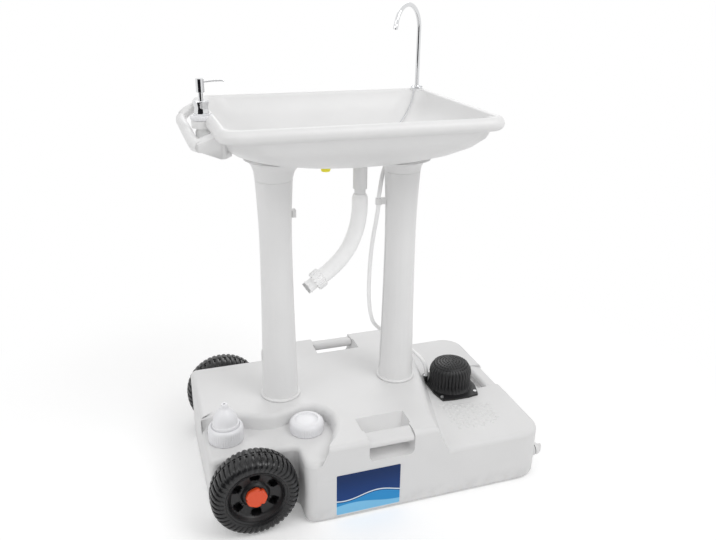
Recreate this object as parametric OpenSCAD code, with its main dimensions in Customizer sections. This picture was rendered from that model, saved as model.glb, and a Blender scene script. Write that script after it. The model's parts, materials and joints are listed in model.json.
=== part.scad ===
// Rolling camp wash stand: a water tank on two wheels, two plug-in legs, a basin with a
// towel rail and soap pump, a swivel faucet and a foot pump. Millimetres, +Z up.
// Origin: middle of the tank's underside, on the floor. +X runs to the foot pump end,
// -Y is the front.

/* [Tank] */
// Length of the tank along X
tank_l = 730; // [700:5:780]
// Width of the tank along Y
tank_w = 470; // [450:5:510]
// Height of the upper deck that carries the legs
deck_h = 181; // [176:1:190]
// Height of the lower deck that carries the foot pump
low_deck_h = 122; // [118:1:126]
// Height of the floor of the cap recess
recess_h = 150; // [146:1:152]
// Wall of the blow-moulded tank
tank_wall = 5; // [4:0.5:6]
// Radius of the tank's rounded top and bottom edges
edge_r = 11; // [8:1:12]
// Corner radius of the tank in plan
corner_r = 52; // [40:2:60]
// X of the step between the decks at the front edge
step_front_x = 102; // [98:1:108]
// X of the step between the decks at the back edge
step_back_x = 185; // [180:1:190]
// Run of the slope between the decks
step_run = 26; // [20:1:30]

/* [Wheels] */
// Outer diameter of a tyre
wheel_d = 180; // [170:2:182]
// Width of a tyre
wheel_w = 60; // [54:1:62]
// Distance of the axle from the tank's left end
axle_in = 82; // [78:1:86]
// Axle rod diameter
axle_d = 12; // [10:1:14]
// Number of tread lugs round a tyre
tread_lugs = 30; // [20:2:36]
// Number of windows round a wheel face
wheel_windows = 6; // [5:1:8]

/* [Legs] */
// X of the left leg
left_leg_x = -181; // [-190:1:-172]
// X of the right leg
right_leg_x = 95; // [85:1:105]
// Leg diameter at its foot
leg_foot_d = 80; // [74:1:84]
// Leg diameter at its waist
leg_waist_d = 67; // [62:1:72]
// Leg diameter at the top, where it meets the basin
leg_top_d = 76; // [72:1:82]
// Wall of a leg
leg_wall = 4; // [3:0.5:5]
// Length of the plug at each end of a leg
leg_plug = 32; // [24:1:36]
// Fit clearance of plugs and sockets, on the radius
fit = 0.3; // [0.2:0.05:0.5]

/* [Basin] */
// Length of the basin over its rim
basin_l = 546; // [520:2:570]
// Width of the basin over its rim
basin_w = 426; // [410:2:440]
// Height of the rim above the floor
rim_h = 810; // [790:2:830]
// Depth of the basin outside, rim to underside
basin_d = 116; // [108:1:122]
// Wall of the basin
basin_wall = 6; // [5:0.5:8]
// Radius of the rolled rim
rim_r = 13; // [10:0.5:15]
// Plan corner radius of the rim
rim_corner_r = 40; // [34:1:48]
// X of the basin's middle
basin_x = -38; // [-44:1:-32]
// Y of the basin's middle
basin_y = 20; // [14:1:26]

/* [Towel rail and soap pump] */
// Diameter of the towel rail
rail_d = 21; // [18:1:24]
// Clear slot between the basin's rim and the rail
rail_gap = 20; // [16:1:26]
// Straight length of the towel rail
rail_l = 240; // [200:5:260]
// Diameter of the soap bottle
soap_bottle_d = 28; // [26:1:29]
// Height of the soap bottle
soap_bottle_h = 46; // [44:1:60]
// Stroke of the soap pump
soap_stroke = 12; // [8:1:12]

/* [Faucet] */
// Outer diameter of the gooseneck tube
spout_d = 10; // [8:0.5:12]
// Radius of the gooseneck's bend
spout_bend_r = 52; // [40:1:60]
// Overall height of the stand, to the top of the gooseneck
total_h = 1000; // [970:2:1030]
// Angle of the gooseneck, from +X towards +Y
spout_angle = 218; // [200:1:240]

/* [Foot pump] */
// X of the foot pump
pump_x = 241; // [236:1:246]
// Diameter of the pump's bellows
pump_d = 102; // [92:1:106]
// Height of the bellows above its flange
bellows_h = 50; // [44:1:56]
// Height of the pump's crown
crown_h = 24; // [20:1:28]
// Stroke of the foot pump
pump_stroke = 28; // [20:1:30]
// Number of pleats round the bellows
pleats = 28; // [20:2:36]

/* [Caps] */
// Outer diameter of the two screw caps
cap_d = 75; // [72:1:77]
// Outer diameter of the filler necks
neck_d = 64; // [60:1:66]
// Rise of the caps as they unscrew
cap_lift = 12; // [8:1:14]
// Number of grip ribs round a cap
cap_ribs = 36; // [24:2:48]

/* [Drain] */
// X of the drain
drain_x = 3; // [-2:1:8]
// Y of the drain
drain_y = 6; // [0:1:12]
// Outer diameter of the drain hose
hose_d = 34; // [30:1:38]
// Wall of the drain hose
hose_wall = 2.5; // [2:0.5:4]
// Outer diameter of the supply tube
tube_d = 9; // [8:0.5:10]

/* [Hidden] */

shell_grey = "#dddbd7";
pale_grey = "#e6e4e1";
cap_white = "#f1f0f2";
rubber_black = "#1c1c1e";
hub_orange = "#e25c30";
chrome = "#c9ccd0";
steel = "#a8abb0";
clear_white = "#e9ebe6";
plug_yellow = "#e8c21c";
smooth = 48;

half_l = tank_l / 2;
half_w = tank_w / 2;
eps = 0.01;

// Wheels and their notches
wheel_r = wheel_d / 2;
axle_x = -half_l + axle_in;
axle_z = wheel_r;
notch_gap = 10;
notch_x = axle_x + wheel_r + notch_gap;
notch_y = half_w - wheel_w - 13;
notch_r = 22;
wheel_y = notch_y + 8 + wheel_w / 2;
axle_play = 0.15;
wheel_face = wheel_w / 2 - 14;
hub_end = wheel_face - 3;
hub_r = 26;
washer_t = 2;
retainer_t = 3.4;
seat_gap = 0.3;

// Handles: a pocket through the tank's top edge with a bar across it
grip_l = 100;
grip_reach = 85;
grip_drop = 51;
end_grip_y = 24;
end_grip_reach = 62;
end_grip_drop = 44;
grip_slot = 41;
grip_pin_d = 11;
grip_pin_l = 13;
grip_pin_in = 19;
grip_pin_down = 12.5;
grip_gap = 1;

// Caps, their necks and the recess that they stand in
fill_x = -150;
fill_y = -112;
pour_x = -319;
pour_y = -94;
neck_h = 20;
neck_bore_d = neck_d - 10;
seal_t = 2.5;
cap_h = 26;
cap_top_t = 4;
drain_plug_y = -192;
drain_plug_z = 42;
drain_hole_d = 18;
drain_boss = 1;

// Shallow seat for the panel on the tank's front
panel_x = -50;
panel_z = 61;
panel_a = 72;
panel_b = 51.5;
panel_in = 0.8;

// Legs
leg_seat_r = leg_foot_d / 2 + 4;
leg_bead_h = 6;
socket_r = leg_foot_d / 2 - 5;
leg_top_z = rim_h - basin_d - 20;
top_plug_r = leg_top_d / 2 - leg_wall;

// Basin
basin_a = basin_l / 2;
basin_b = basin_w / 2;
under_z = rim_h - basin_d;
floor_z = under_z + basin_wall;
rim_left_x = basin_x - basin_a;
bowl_in = rim_r * 0.8;
// How much rounder the bowl's corners are than the rim's: they leave a deck for the faucet
bowl_corner = 36;
ring_arc = 6;

// Towel rail and soap pump
rail_r = rail_d / 2;
rail_z = rim_h - 35;
rail_x = rim_left_x - rail_gap - rail_r;
rail_y0 = -115;
soap_x = rim_left_x - 3;
soap_y = -10;
shelf_z = rim_h - 10;
shelf_t = 14;
soap_ring_d = 38;
soap_hole_d = 24;
soap_collar_d = 30;
soap_head_d = 15;
soap_stem_d = 9;

// Faucet
faucet_x = basin_x + basin_a - 25;
faucet_y = basin_y + basin_b - 20;
spout_r = spout_d / 2;
bend_z = total_h - spout_bend_r - spout_r;
faucet_flange_d = 27;
faucet_flange_h = 7;
faucet_shank_d = 14;
faucet_pad_d = 30;
faucet_pad_h = 31;

// Foot pump
pump_y = 2;
pump_flange_t = 5;
pump_base_z = low_deck_h + pump_flange_t;
crown_z = pump_base_z + bellows_h;
pump_bore_d = 58;
pump_cylinder_z = 34;
pump_flange_a = 57;
pump_flange_b = 66;
pump_screw_x = 43;
pump_screw_y = 51;
pump_screw_d = 4;
outlet_x = pump_x - 51;
outlet_y = pump_y + 28;
outlet_h = 16;

// Drain
boss_d = 30;
boss_wall = 3;
boss_bottom_z = 640;
drain_flange_d = 60;
drain_seat_z = floor_z - 2;
stem_d = boss_d - 2 * boss_wall - 2 * fit;
neck_bottom_z = 628;
stem_l = 22;
gasket_t = 1;

hose_bore_d = hose_d - 2 * hose_wall;

// Route of the drain hose, of the supply tube and of the stopper's chain
hose_route = [[3, 6, 628], [3, 6, 614], [3, 6, 600], [2.5, 6, 588], [1, 6, 576.5],
    [-1, 5.5, 565], [-4, 5, 553], [-7.5, 5, 541.5], [-12, 4.5, 530.5], [-17, 4, 519.5],
    [-23, 3.5, 509], [-30, 3, 499], [-38, 2.5, 489], [-47, 2, 480], [-57, 1.5, 471],
    [-69, 1, 461.5], [-82, 0, 453]];
tube_route = [[210, 213, 754], [210, 213, 745], [207, 209, 736], [199, 200, 725],
    [187, 186, 716], [172, 168, 709], [148, 140, 701], [120, 108, 692], [102, 87, 686],
    [86, 66, 679], [72, 46, 670], [61, 29, 659], [53, 15, 646], [47, 5, 632], [43, 0, 618],
    [43, 0, 602], [42, 3, 584], [41, 8, 562], [39, 13, 538], [36, 18, 500], [34, 21, 460],
    [33, 22, 420], [33, 22, 385], [36, 23, 352], [40, 25, 332], [46, 28, 314], [55, 34, 300],
    [67, 43, 286], [81, 53, 271], [96, 62, 256], [112, 70, 240], [128, 75, 225],
    [144, 77, 214], [157, 72, 205], [166, 64, 198], [173, 56, 192], [178.5, 50, 187],
    [183, 44, 181], [186, 39, 174.5], [188.3, 34.5, 166.5], [189.5, 31.3, 158.5],
    [190, 30, 150], [190, 30, 143]];
chain_route = [[199, 200, 813], [197, 198, 808], [195, 196, 803], [193, 193, 796],
    [190, 190, 788], [185, 185, 781], [178, 178, 773], [164, 163, 760], [142, 141, 746],
    [118, 116, 734], [94, 92, 725], [72, 70, 717], [50, 49, 711], [33, 33, 708], [19, 20, 710],
    [7, 9, 713]];
chain_d = 3;

// ---------------------------------------------------------------- shared shapes

function arc(c, r, a0, a1, n) =
    [for (i = [0:n]) [c[0] + r * cos(a0 + (a1 - a0) * i / n),
                      c[1] + r * sin(a0 + (a1 - a0) * i / n)]];

// A rounded rectangle about c, counter-clockwise, n steps in each corner
function round_rect(c, a, b, r, n = ring_arc) = concat(
    arc([c[0] + a - r, c[1] + b - r], r, 0, 90, n),
    arc([c[0] - a + r, c[1] + b - r], r, 90, 180, n),
    arc([c[0] - a + r, c[1] - b + r], r, 180, 270, n),
    arc([c[0] + a - r, c[1] - b + r], r, 270, 360, n));

// The same outline drawn in by d along its own normals
function drawn_in(p, d) = let (n = len(p))
    [for (i = [0:n - 1]) let (
        t = p[(i + 1) % n] - p[(i + n - 1) % n],
        l = norm(t)) p[i] + d * [-t[1], t[0]] / l];

function at_z(p, z) = [for (q = p) [q[0], q[1], z]];

// A closed skin over a stack of rings that all have the same number of points
module skin(rings) {
    n = len(rings[0]);
    m = len(rings);
    polyhedron(
        points = [for (r = rings, q = r) q],
        faces = concat(
            [[for (i = [0:n - 1]) i]],
            [for (k = [0:m - 2], i = [0:n - 1])
                [k * n + i, (k + 1) * n + i, (k + 1) * n + (i + 1) % n]],
            [for (k = [0:m - 2], i = [0:n - 1])
                [k * n + i, (k + 1) * n + (i + 1) % n, k * n + (i + 1) % n]],
            [[for (i = [n - 1:-1:0]) (m - 1) * n + i]]));
}

// A slab with rounded bottom and top edges over any smooth outline; its bottom edge is sharp
// where r0 is 0
module soft_slab(outline, z0, z1, r0, r1, steps = 3) {
    low = [for (i = [r0 > 0 ? 0 : steps:steps]) let (a = 90 * i / steps)
        at_z(drawn_in(outline, r0 * (1 - sin(a))), z0 + r0 * (1 - cos(a)))];
    top = [for (i = [0:steps]) let (a = 90 * i / steps)
        at_z(drawn_in(outline, r1 * (1 - cos(a))), z1 - r1 * (1 - sin(a)))];
    skin(concat(low, top));
}

// A plain tube along Z between two heights
module pipe(r_out, r_in, z0, z1) {
    difference() {
        translate([0, 0, z0]) cylinder(r = r_out, h = z1 - z0, $fn = smooth);
        translate([0, 0, z0 - 1]) cylinder(r = r_in, h = z1 - z0 + 2, $fn = smooth);
    }
}

// A box given by its two corners
module span(lo, hi) {
    translate(lo) cube(hi - lo);
}

// A round tube swept along route points
module swept(route, d, sides) {
    n = len(route);
    rings = [for (i = [0:n - 1]) let (
        t = route[min(i + 1, n - 1)] - route[max(i - 1, 0)],
        w = t / norm(t),
        side = cross(w, abs(w[1]) < 0.9 ? [0, 1, 0] : [1, 0, 0]),
        u = side / norm(side),
        v = cross(w, u))
        [for (k = [0:sides - 1]) let (a = 360 * k / sides)
            route[i] + d / 2 * (u * cos(a) + v * sin(a))]];
    skin(rings);
}

// A coil spring between two heights, one unbroken wire
module coil(r, wire, z0, z1, turns, per_turn = 12, sides = 6) {
    steps = turns * per_turn;
    swept([for (i = [0:steps]) let (a = 360 * i / per_turn)
        [r * cos(a), r * sin(a), z0 + (z1 - z0) * i / steps]], wire, sides);
}

// ---------------------------------------------------------------- tank

// Pieces of the plan outlines, counter-clockwise from the right end over the back
notch_back = concat(
    arc([notch_x + notch_r, half_w - notch_r], notch_r, 90, 180, 4),
    arc([notch_x - 12, notch_y + 12], 12, 0, -90, 3),
    arc([-half_l + 16, notch_y - 16], 16, 90, 180, 4));
notch_front = concat(
    arc([-half_l + 16, -notch_y + 16], 16, 180, 270, 4),
    arc([notch_x - 12, -notch_y - 12], 12, 90, 0, 3),
    arc([notch_x + notch_r, -half_w + notch_r], notch_r, 180, 270, 4));

// The tank's lower part is a hair smaller than the decks' walls, which run on over it
hair = 0.1;
end_x = half_l + 2 * hair - corner_r;

// Plan of the whole tank, with a notch for each wheel
tank_plan = concat(
    arc([end_x, half_w - corner_r], corner_r, 0, 90, ring_arc),
    notch_back, notch_front,
    arc([end_x, -half_w + corner_r], corner_r, 270, 360, ring_arc));

// Plan of the left part, whose top is the floor of the cap recess
recess_end_x = -60;
recess_plan = concat([[recess_end_x, half_w]], notch_back, notch_front, [[recess_end_x, -half_w]]);

// Edge of the upper deck along the recess, from the left end to the front: x, y, and how
// far its wall runs out by the height of the lower deck
recess_edge = [[-half_l, -46, 0, -8], [-338, -44, 0, -10], [-300, -54, -4, -11],
    [-268, -70, -7, -10], [-240, -83, -4, -11], [-210, -85, 0, -11], [-180, -75, 2, -9],
    [-150, -67, 0, -5], [-122, -71, -2, -5], [-104, -88, -6, -3], [-95, -114, -9, 0],
    [-96, -146, -14, -3], [-106, -172, -24, -4], [-118, -196, -26, 0],
    [-134, -half_w, -28, 0]];

// Edge of the step between the decks at y, for a share s of the way down its slope
function step_x(y, s) = step_front_x
    + (step_back_x - step_front_x) * pow(sin(90 * (y + half_w) / tank_w), 1.3) + step_run * s;

// Plan of the upper deck for a share s of the way down to the lower deck
function deck_plan(s) = concat(
    [[step_x(half_w, s), half_w]], notch_back,
    [for (e = recess_edge) [e[0] + s * e[2], e[1] + s * e[3]]],
    [for (i = [0:7]) let (y = -half_w + tank_w * i / 8) [step_x(y, s), y]]);

// Share of the way down the slopes at a height z: steep on top, easing out below
function slope_share(z) = z > low_deck_h ? pow((deck_h - z) / (deck_h - low_deck_h), 1.3) : 1;

// The upper deck's block, from inside the lower part up
module deck_block() {
    skin(concat(
        [for (z = [low_deck_h - 16, low_deck_h, low_deck_h + 12, recess_h - 6, recess_h + 10,
            deck_h - edge_r]) at_z(deck_plan(slope_share(z)), z)],
        [for (a = [30:30:90]) let (z = deck_h - edge_r + edge_r * sin(a))
            at_z(drawn_in(deck_plan(slope_share(z)), edge_r * (1 - cos(a))), z)]));
}

module tank_outside() {
    soft_slab(drawn_in(tank_plan, 2 * hair), 0, low_deck_h, edge_r, edge_r);
    soft_slab(drawn_in(recess_plan, hair), low_deck_h - 20, recess_h, 0, edge_r);
    deck_block();
}

// A grip pocket in its own frame: the bar runs along X, +Y points out of the tank, and the
// origin is in the deck's edge. It grows by a wall where the water has to stay out.
module grip_pocket(reach, drop, grow = 0) {
    a = grip_l / 2 + grow;
    translate([0, 20, 0]) rotate([90, 0, 0])
        linear_extrude(height = 20 + grip_slot + grow)
            polygon(concat([[a, 20], [-a, 20]],
                arc([-a + 12, -drop - grow + 12], 12, 180, 270, 3),
                arc([a - 12, -drop - grow + 12], 12, 270, 360, 3)));
    hull() {
        translate([-a - 4, -reach - grow, 0]) cube([2 * a + 8, 2, 20]);
        translate([-a - 4, -grip_slot, 0]) cube([2 * a + 8, 2, 20]);
        translate([-a + 10, -grip_slot - 16, -drop - grow + 6]) cube([2 * a - 20, 18, 2]);
    }
}

// What the water has to stay out of: pocket walls and the bosses of the handle pins
module grip_walls(reach, drop) {
    pin = grip_l / 2 + grip_pin_l + tank_wall;
    grip_pocket(reach, drop, tank_wall);
    translate([-pin, -grip_slot, -grip_pin_down - grip_pin_d]) cube([2 * pin, grip_slot, 30]);
}

module at_front() { translate([0, -half_w, deck_h]) rotate([0, 0, 180]) children(); }
module at_back() { translate([0, half_w, deck_h]) children(); }
module at_end() { translate([half_l, end_grip_y, low_deck_h]) rotate([0, 0, -90]) children(); }

// The water space, with the sockets, wells and tunnel that stand in it left solid
module water_space() {
    w = tank_wall;
    difference() {
        union() {
            translate([0, 0, w]) linear_extrude(height = low_deck_h - 2 * w)
                polygon(drawn_in(tank_plan, w + 2));
            translate([0, 0, low_deck_h - 30]) linear_extrude(height = recess_h - w - low_deck_h + 30)
                polygon(drawn_in(recess_plan, w + 4));
            skin([for (z = [low_deck_h - 35, deck_h - w])
                at_z(drawn_in(deck_plan(slope_share(z)), w + 3), z)]);
        }
        for (x = [left_leg_x, right_leg_x]) translate([x, 0, deck_h - leg_plug - 2 * w])
            cylinder(r = socket_r + w, h = leg_plug + 2 * w, $fn = 32);
        translate([axle_x, 0, axle_z]) rotate([90, 0, 0])
            cylinder(r = axle_d / 2 + w, h = tank_w, center = true, $fn = 24);
        at_front() grip_walls(grip_reach, grip_drop);
        at_back() grip_walls(grip_reach, grip_drop);
        at_end() grip_walls(end_grip_reach, end_grip_drop);
        translate([half_l - 36, drain_plug_y, drain_plug_z]) rotate([0, 90, 0])
            cylinder(r = drain_hole_d / 2 + w, h = 40, $fn = 24);
    }
}

module panel_seat() {
    translate([panel_x, -half_w + panel_in, panel_z]) rotate([90, 0, 0])
        linear_extrude(height = 10) polygon(round_rect([0, 0], panel_a, panel_b, 8, 4));
}

module grip_pin_hole() {
    translate([0, -grip_pin_in, -grip_pin_down]) rotate([0, 90, 0])
        cylinder(d = grip_pin_d + 2 * fit, h = grip_l + 2 * grip_pin_l, center = true, $fn = smooth);
}

// The blow-moulded shell with its holes
module tank() {
    color(shell_grey) resize([0, 0, deck_h]) difference() {
        union() {
            tank_outside();
            translate([half_l - 24, drain_plug_y, drain_plug_z]) rotate([0, 90, 0])
                cylinder(r = 15, h = 24 + drain_boss, $fn = 30);
            for (p = [[fill_x, fill_y], [pour_x, pour_y]]) translate([p[0], p[1], recess_h - 2])
                cylinder(d = neck_d, h = neck_h + 2, $fn = smooth);
        }
        water_space();
        at_front() grip_pocket(grip_reach, grip_drop);
        at_back() grip_pocket(grip_reach, grip_drop);
        at_end() grip_pocket(end_grip_reach, end_grip_drop);
        for (p = [[fill_x, fill_y], [pour_x, pour_y]]) translate([p[0], p[1], recess_h - 20])
            cylinder(d = neck_bore_d, h = neck_h + 30, $fn = smooth);
        for (x = [left_leg_x, right_leg_x]) translate([x, 0, deck_h - leg_plug - 1])
            cylinder(r = socket_r, h = leg_plug + 10, $fn = smooth);
        translate([axle_x, 0, axle_z]) rotate([90, 0, 0])
            cylinder(r = axle_d / 2 + axle_play, h = tank_w, center = true, $fn = 32);
        translate([pump_x, pump_y, low_deck_h - 20])
            cylinder(d = pump_bore_d + 2 * fit, h = 40, $fn = smooth);
        for (sx = [-1, 1], sy = [-1, 1])
            translate([pump_x + sx * pump_screw_x, pump_y + sy * pump_screw_y, low_deck_h - 20])
                cylinder(d = pump_screw_d + 0.4, h = 40, $fn = 20);
        translate([half_l - 40, drain_plug_y, drain_plug_z]) rotate([0, 90, 0])
            cylinder(d = drain_hole_d, h = 60, $fn = smooth);
        panel_seat();
        at_front() grip_pin_hole();
        at_back() grip_pin_hole();
        at_end() grip_pin_hole();
    }
}

// A handle bar with a pin at each end: its top falls with the tank's rounded edge
module grip_bar() {
    inner = [-grip_slot + 12, -11.5];
    outer = [-9.5, -15];
    bar = grip_l - 2 * grip_gap;
    translate([-bar / 2, 0, 0]) rotate([90, 0, 90]) linear_extrude(height = bar)
        polygon(concat(arc(outer, 8, -85, 70, 6), arc(inner, 10, 70, 275, 8)));
    translate([0, -grip_pin_in, -grip_pin_down]) rotate([0, 90, 0])
        cylinder(d = grip_pin_d, h = bar + 2 * grip_pin_l - 2 * grip_gap, center = true, $fn = smooth);
}

module front_handle() { color(shell_grey) at_front() grip_bar(); }
module back_handle() { color(shell_grey) at_back() grip_bar(); }
module end_handle() { color(shell_grey) at_end() grip_bar(); }

// ---------------------------------------------------------------- caps and drain plug

// A skirted screw cap with grip ribs, from z = 0; its top is cap_h high
module cap_skirt() {
    rib = 1.6;
    difference() {
        union() {
            cylinder(d = cap_d - 2 * rib, h = cap_h, $fn = 2 * smooth);
            for (i = [0:cap_ribs - 1]) rotate([0, 0, 360 * i / cap_ribs])
                translate([cap_d / 2 - rib - 1, -rib, 1]) cube([rib + 1, 2 * rib, cap_h - 5]);
        }
        translate([0, 0, -1]) cylinder(d = neck_d + 1, h = cap_h - cap_top_t + 1, $fn = 2 * smooth);
    }
}

cap_z = recess_h + neck_h + seal_t - cap_h + cap_top_t + eps;

module fill_cap() {
    color(cap_white) translate([fill_x, fill_y, cap_z]) difference() {
        cap_skirt();
        translate([0, 0, cap_h - 2]) cylinder(d = cap_d - 22, h = 5, $fn = smooth);
    }
}

module cap_seal(at, hole_d) {
    color(rubber_black) translate([at[0], at[1], recess_h + neck_h]) difference() {
        cylinder(d = neck_d, h = seal_t, $fn = smooth);
        if (hole_d > 0) translate([0, 0, -1]) cylinder(d = hole_d, h = seal_t + 2, $fn = smooth);
    }
}

module fill_cap_seal() { cap_seal([fill_x, fill_y], 0); }
module spout_cap_seal() { cap_seal([pour_x, pour_y], neck_bore_d - 4); }

// The pouring cap: a ribbed skirt under a stepped, open cone
module spout_cap() {
    cone = [[neck_bore_d / 2 - 2, cap_h - cap_top_t], [cap_d / 2 - 7, cap_h - cap_top_t],
        [cap_d / 2 - 7, cap_h + 1], [cap_d / 2 - 10, cap_h + 3], [19, cap_h + 12], [16, cap_h + 15],
        [15.5, cap_h + 19], [10, cap_h + 28], [6.5, cap_h + 32], [6, cap_h + 41], [4.5, cap_h + 43],
        [2.5, cap_h + 43], [2.5, cap_h + 31], [7, cap_h + 26], [12, cap_h + 17],
        [16, cap_h + 9]];
    color(cap_white) translate([pour_x, pour_y, cap_z]) union() {
        difference() {
            cap_skirt();
            cylinder(d = neck_bore_d - 2, h = 2 * cap_h, $fn = smooth);
        }
        rotate_extrude($fn = smooth) polygon(cone);
    }
}

module drain_plug() {
    color(pale_grey) translate([half_l + drain_boss, drain_plug_y, drain_plug_z]) rotate([0, 90, 0]) union() {
        translate([0, 0, -26]) cylinder(d = drain_hole_d - 0.6, h = 26 + seal_t + eps, $fn = smooth);
        translate([0, 0, seal_t]) cylinder(d = 27, h = 8, $fn = smooth);
        translate([0, 0, seal_t + 8 - eps]) linear_extrude(height = 10)
            polygon(round_rect([0, 0], 11, 3.5, 3, 3));
    }
}

module drain_plug_seal() {
    color(rubber_black) translate([half_l + drain_boss, drain_plug_y, drain_plug_z]) rotate([0, 90, 0])
        pipe(13, drain_hole_d / 2 + 0.1, 0, seal_t);
}

// ---------------------------------------------------------------- wheels

module axle() {
    color(steel) translate([axle_x, 0, axle_z]) rotate([90, 0, 0])
        cylinder(d = axle_d, h = 2 * (wheel_y + hub_end + retainer_t + seat_gap), center = true,
            $fn = smooth);
}

module axle_washers() {
    color(steel) for (side = [-1, 1])
        translate([axle_x, side * notch_y, axle_z]) rotate([-90 * side, 0, 0])
            pipe(axle_d / 2 + 6, axle_d / 2 + 0.2, seat_gap, seat_gap + washer_t);
}

// Push-on retainers that hold the wheels on the axle
module axle_nuts() {
    color(steel) for (side = [-1, 1])
        on_axle(side) pipe(axle_d / 2 + 5, axle_d / 2, hub_end + seat_gap,
            hub_end + seat_gap + retainer_t);
}

// A wheel lies on its axis along Z here; outside faces up
tyre_in_r = wheel_r * 0.66;

module tyre_ring() {
    w = wheel_w / 2;
    lug = 4;
    shoulder = 12;
    union() {
        rotate_extrude($fn = 2 * smooth) polygon(concat(
            [[tyre_in_r, -w + 6], [tyre_in_r + 6, -w + 1], [tyre_in_r + 16, -w]],
            arc([wheel_r - lug - shoulder, -w + shoulder], shoulder, -80, 0, 4),
            arc([wheel_r - lug - shoulder, w - shoulder], shoulder, 0, 80, 4),
            [[tyre_in_r + 16, w], [tyre_in_r + 6, w - 1], [tyre_in_r, w - 6]]));
        for (side = [-1, 1], i = [0:tread_lugs - 1])
            rotate([0, 0, 360 * (i + (side > 0 ? 0.5 : 0)) / tread_lugs])
                translate([wheel_r - lug - 9, -wheel_r * 0.055, side > 0 ? 2 : -w + 4])
                    cube([lug + 9 - 0.6, wheel_r * 0.11, w - 6]);
        rotate_extrude($fn = 2 * smooth) polygon([[wheel_r - lug - 3, -3], [wheel_r, -3],
            [wheel_r, 3], [wheel_r - lug - 3, 3]]);
    }
}

module wheel_disc() {
    w = wheel_w / 2;
    bore = axle_d / 2 + 0.05;
    inner_end = notch_y + washer_t + 2 * seat_gap - wheel_y;
    cap_seat = hub_r - 8;
    difference() {
        rotate_extrude($fn = 2 * smooth) polygon([[bore, inner_end], [hub_r - 10, inner_end],
            [hub_r - 4, -4], [tyre_in_r - 6, -4], [tyre_in_r - 5, -w + 7], [tyre_in_r, -w + 7],
            [tyre_in_r, w - 7], [tyre_in_r - 4, w - 3], [tyre_in_r - 8, wheel_face + 3],
            [tyre_in_r - 12, wheel_face], [hub_r + 4, hub_end], [hub_r, wheel_face + 2],
            [hub_r - 3, wheel_face + 4], [cap_seat, wheel_face + 4], [cap_seat, hub_end],
            [bore, hub_end]]);
        for (i = [0:wheel_windows - 1]) rotate([0, 0, 360 * (i + 0.5) / wheel_windows])
            translate([(hub_r + tyre_in_r) / 2 - 1, 0, 0])
                linear_extrude(height = w) polygon(round_rect([0, 0], 7, 10, 4, 3));
    }
}

module hub_disc() {
    r = hub_r - 8 - seat_gap;
    back = hub_end + retainer_t + 3 * seat_gap;
    difference() {
        union() {
            translate([0, 0, back]) cylinder(r = r, h = 3.4, $fn = smooth);
            translate([0, 0, back + 3]) cylinder(r = r * 0.4, h = 3, $fn = smooth);
        }
        for (i = [0:5]) rotate([0, 0, 60 * i]) translate([r * 0.68, 0, back + 2])
            cylinder(d = r * 0.3, h = 3, $fn = 20);
        translate([0, 0, back + 4]) cylinder(r = r * 0.22, h = 3, $fn = smooth);
    }
}

// Puts a wheel piece on the front (side -1) or back (side 1) of the axle
module on_axle(side) {
    translate([axle_x, side * wheel_y, axle_z]) rotate([-90 * side, 0, 0]) children();
}

module front_tyre() { color(rubber_black) on_axle(-1) tyre_ring(); }
module back_tyre() { color(rubber_black) on_axle(1) tyre_ring(); }
module front_wheel_rim() { color(rubber_black) on_axle(-1) wheel_disc(); }
module back_wheel_rim() { color(rubber_black) on_axle(1) wheel_disc(); }
module front_hub_cap() { color(hub_orange) on_axle(-1) hub_disc(); }
module back_hub_cap() { color(hub_orange) on_axle(1) hub_disc(); }

// ---------------------------------------------------------------- legs

// Radius of a leg at a share s of its height: foot, waist at 0.72, wider again on top
function leg_r(s) = s < 0.72
    ? leg_waist_d / 2 + (leg_foot_d - leg_waist_d) / 2 * pow(1 - s / 0.72, 1.6)
    : leg_waist_d / 2 + (leg_top_d - leg_waist_d) / 2 * pow((s - 0.72) / 0.28, 1.8);

module leg(x, seam_side) {
    h = leg_top_z - deck_h;
    steps = 14;
    outer = [for (i = [0:steps]) let (s = i / steps)
        [leg_r(s), deck_h + leg_bead_h + (h - leg_bead_h - fit) * s]];
    inner = [for (i = [steps:-1:0]) outer[i] - [leg_wall, 0]];
    color(pale_grey) translate([x, 0, 0]) difference() {
        rotate_extrude($fn = 2 * smooth) polygon(concat(
            [[socket_r - leg_wall, deck_h - leg_plug], [socket_r - fit, deck_h - leg_plug],
             [socket_r - fit, deck_h], [leg_seat_r - 1.5, deck_h], [leg_seat_r, deck_h + 1.5],
             [leg_seat_r, deck_h + leg_bead_h - 2], [leg_seat_r - 2, deck_h + leg_bead_h]],
            outer,
            [[top_plug_r - fit, leg_top_z - fit], [top_plug_r - fit, leg_top_z + leg_plug * 0.5],
             [top_plug_r - leg_wall, leg_top_z + leg_plug * 0.5]],
            [[top_plug_r - leg_wall, leg_top_z - 6]],
            [for (i = [1:steps]) inner[i]]));
        translate([seam_side * (leg_waist_d / 2 + 4.2), 0, deck_h + 30])
            translate([-8, -1.2, 0]) cube([16, 2.4, leg_top_z - deck_h - 60]);
    }
}

module left_leg() { leg(left_leg_x, 1); }
module right_leg() { leg(right_leg_x, -1); }

// ---------------------------------------------------------------- basin

// The bowl's profile: size share and height share at an angle t from its floor
bowl_fullness = 1.1;
function bowl(t) = [pow(sin(t), bowl_fullness), 1 - pow(cos(t), bowl_fullness)];

// One ring of the bowl: size share s, height z, inset d from the rim's outer size
function bowl_ring(s, z, d) = let (
    a = max((basin_a - d) * s, 16),
    b = max((basin_b - d) * s, 14),
    c = [basin_x + (drain_x - basin_x) * (1 - s), basin_y + (drain_y - basin_y) * (1 - s)],
    r = min(b - 1, rim_corner_r - d + bowl_corner + (1 - s) * 60))
    at_z(round_rect(c, a, b, r), z);

function rim_ring(d, z) = at_z(round_rect([basin_x, basin_y], basin_a - d, basin_b - d,
    rim_corner_r - d), z);

bowl_steps = 7;

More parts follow.
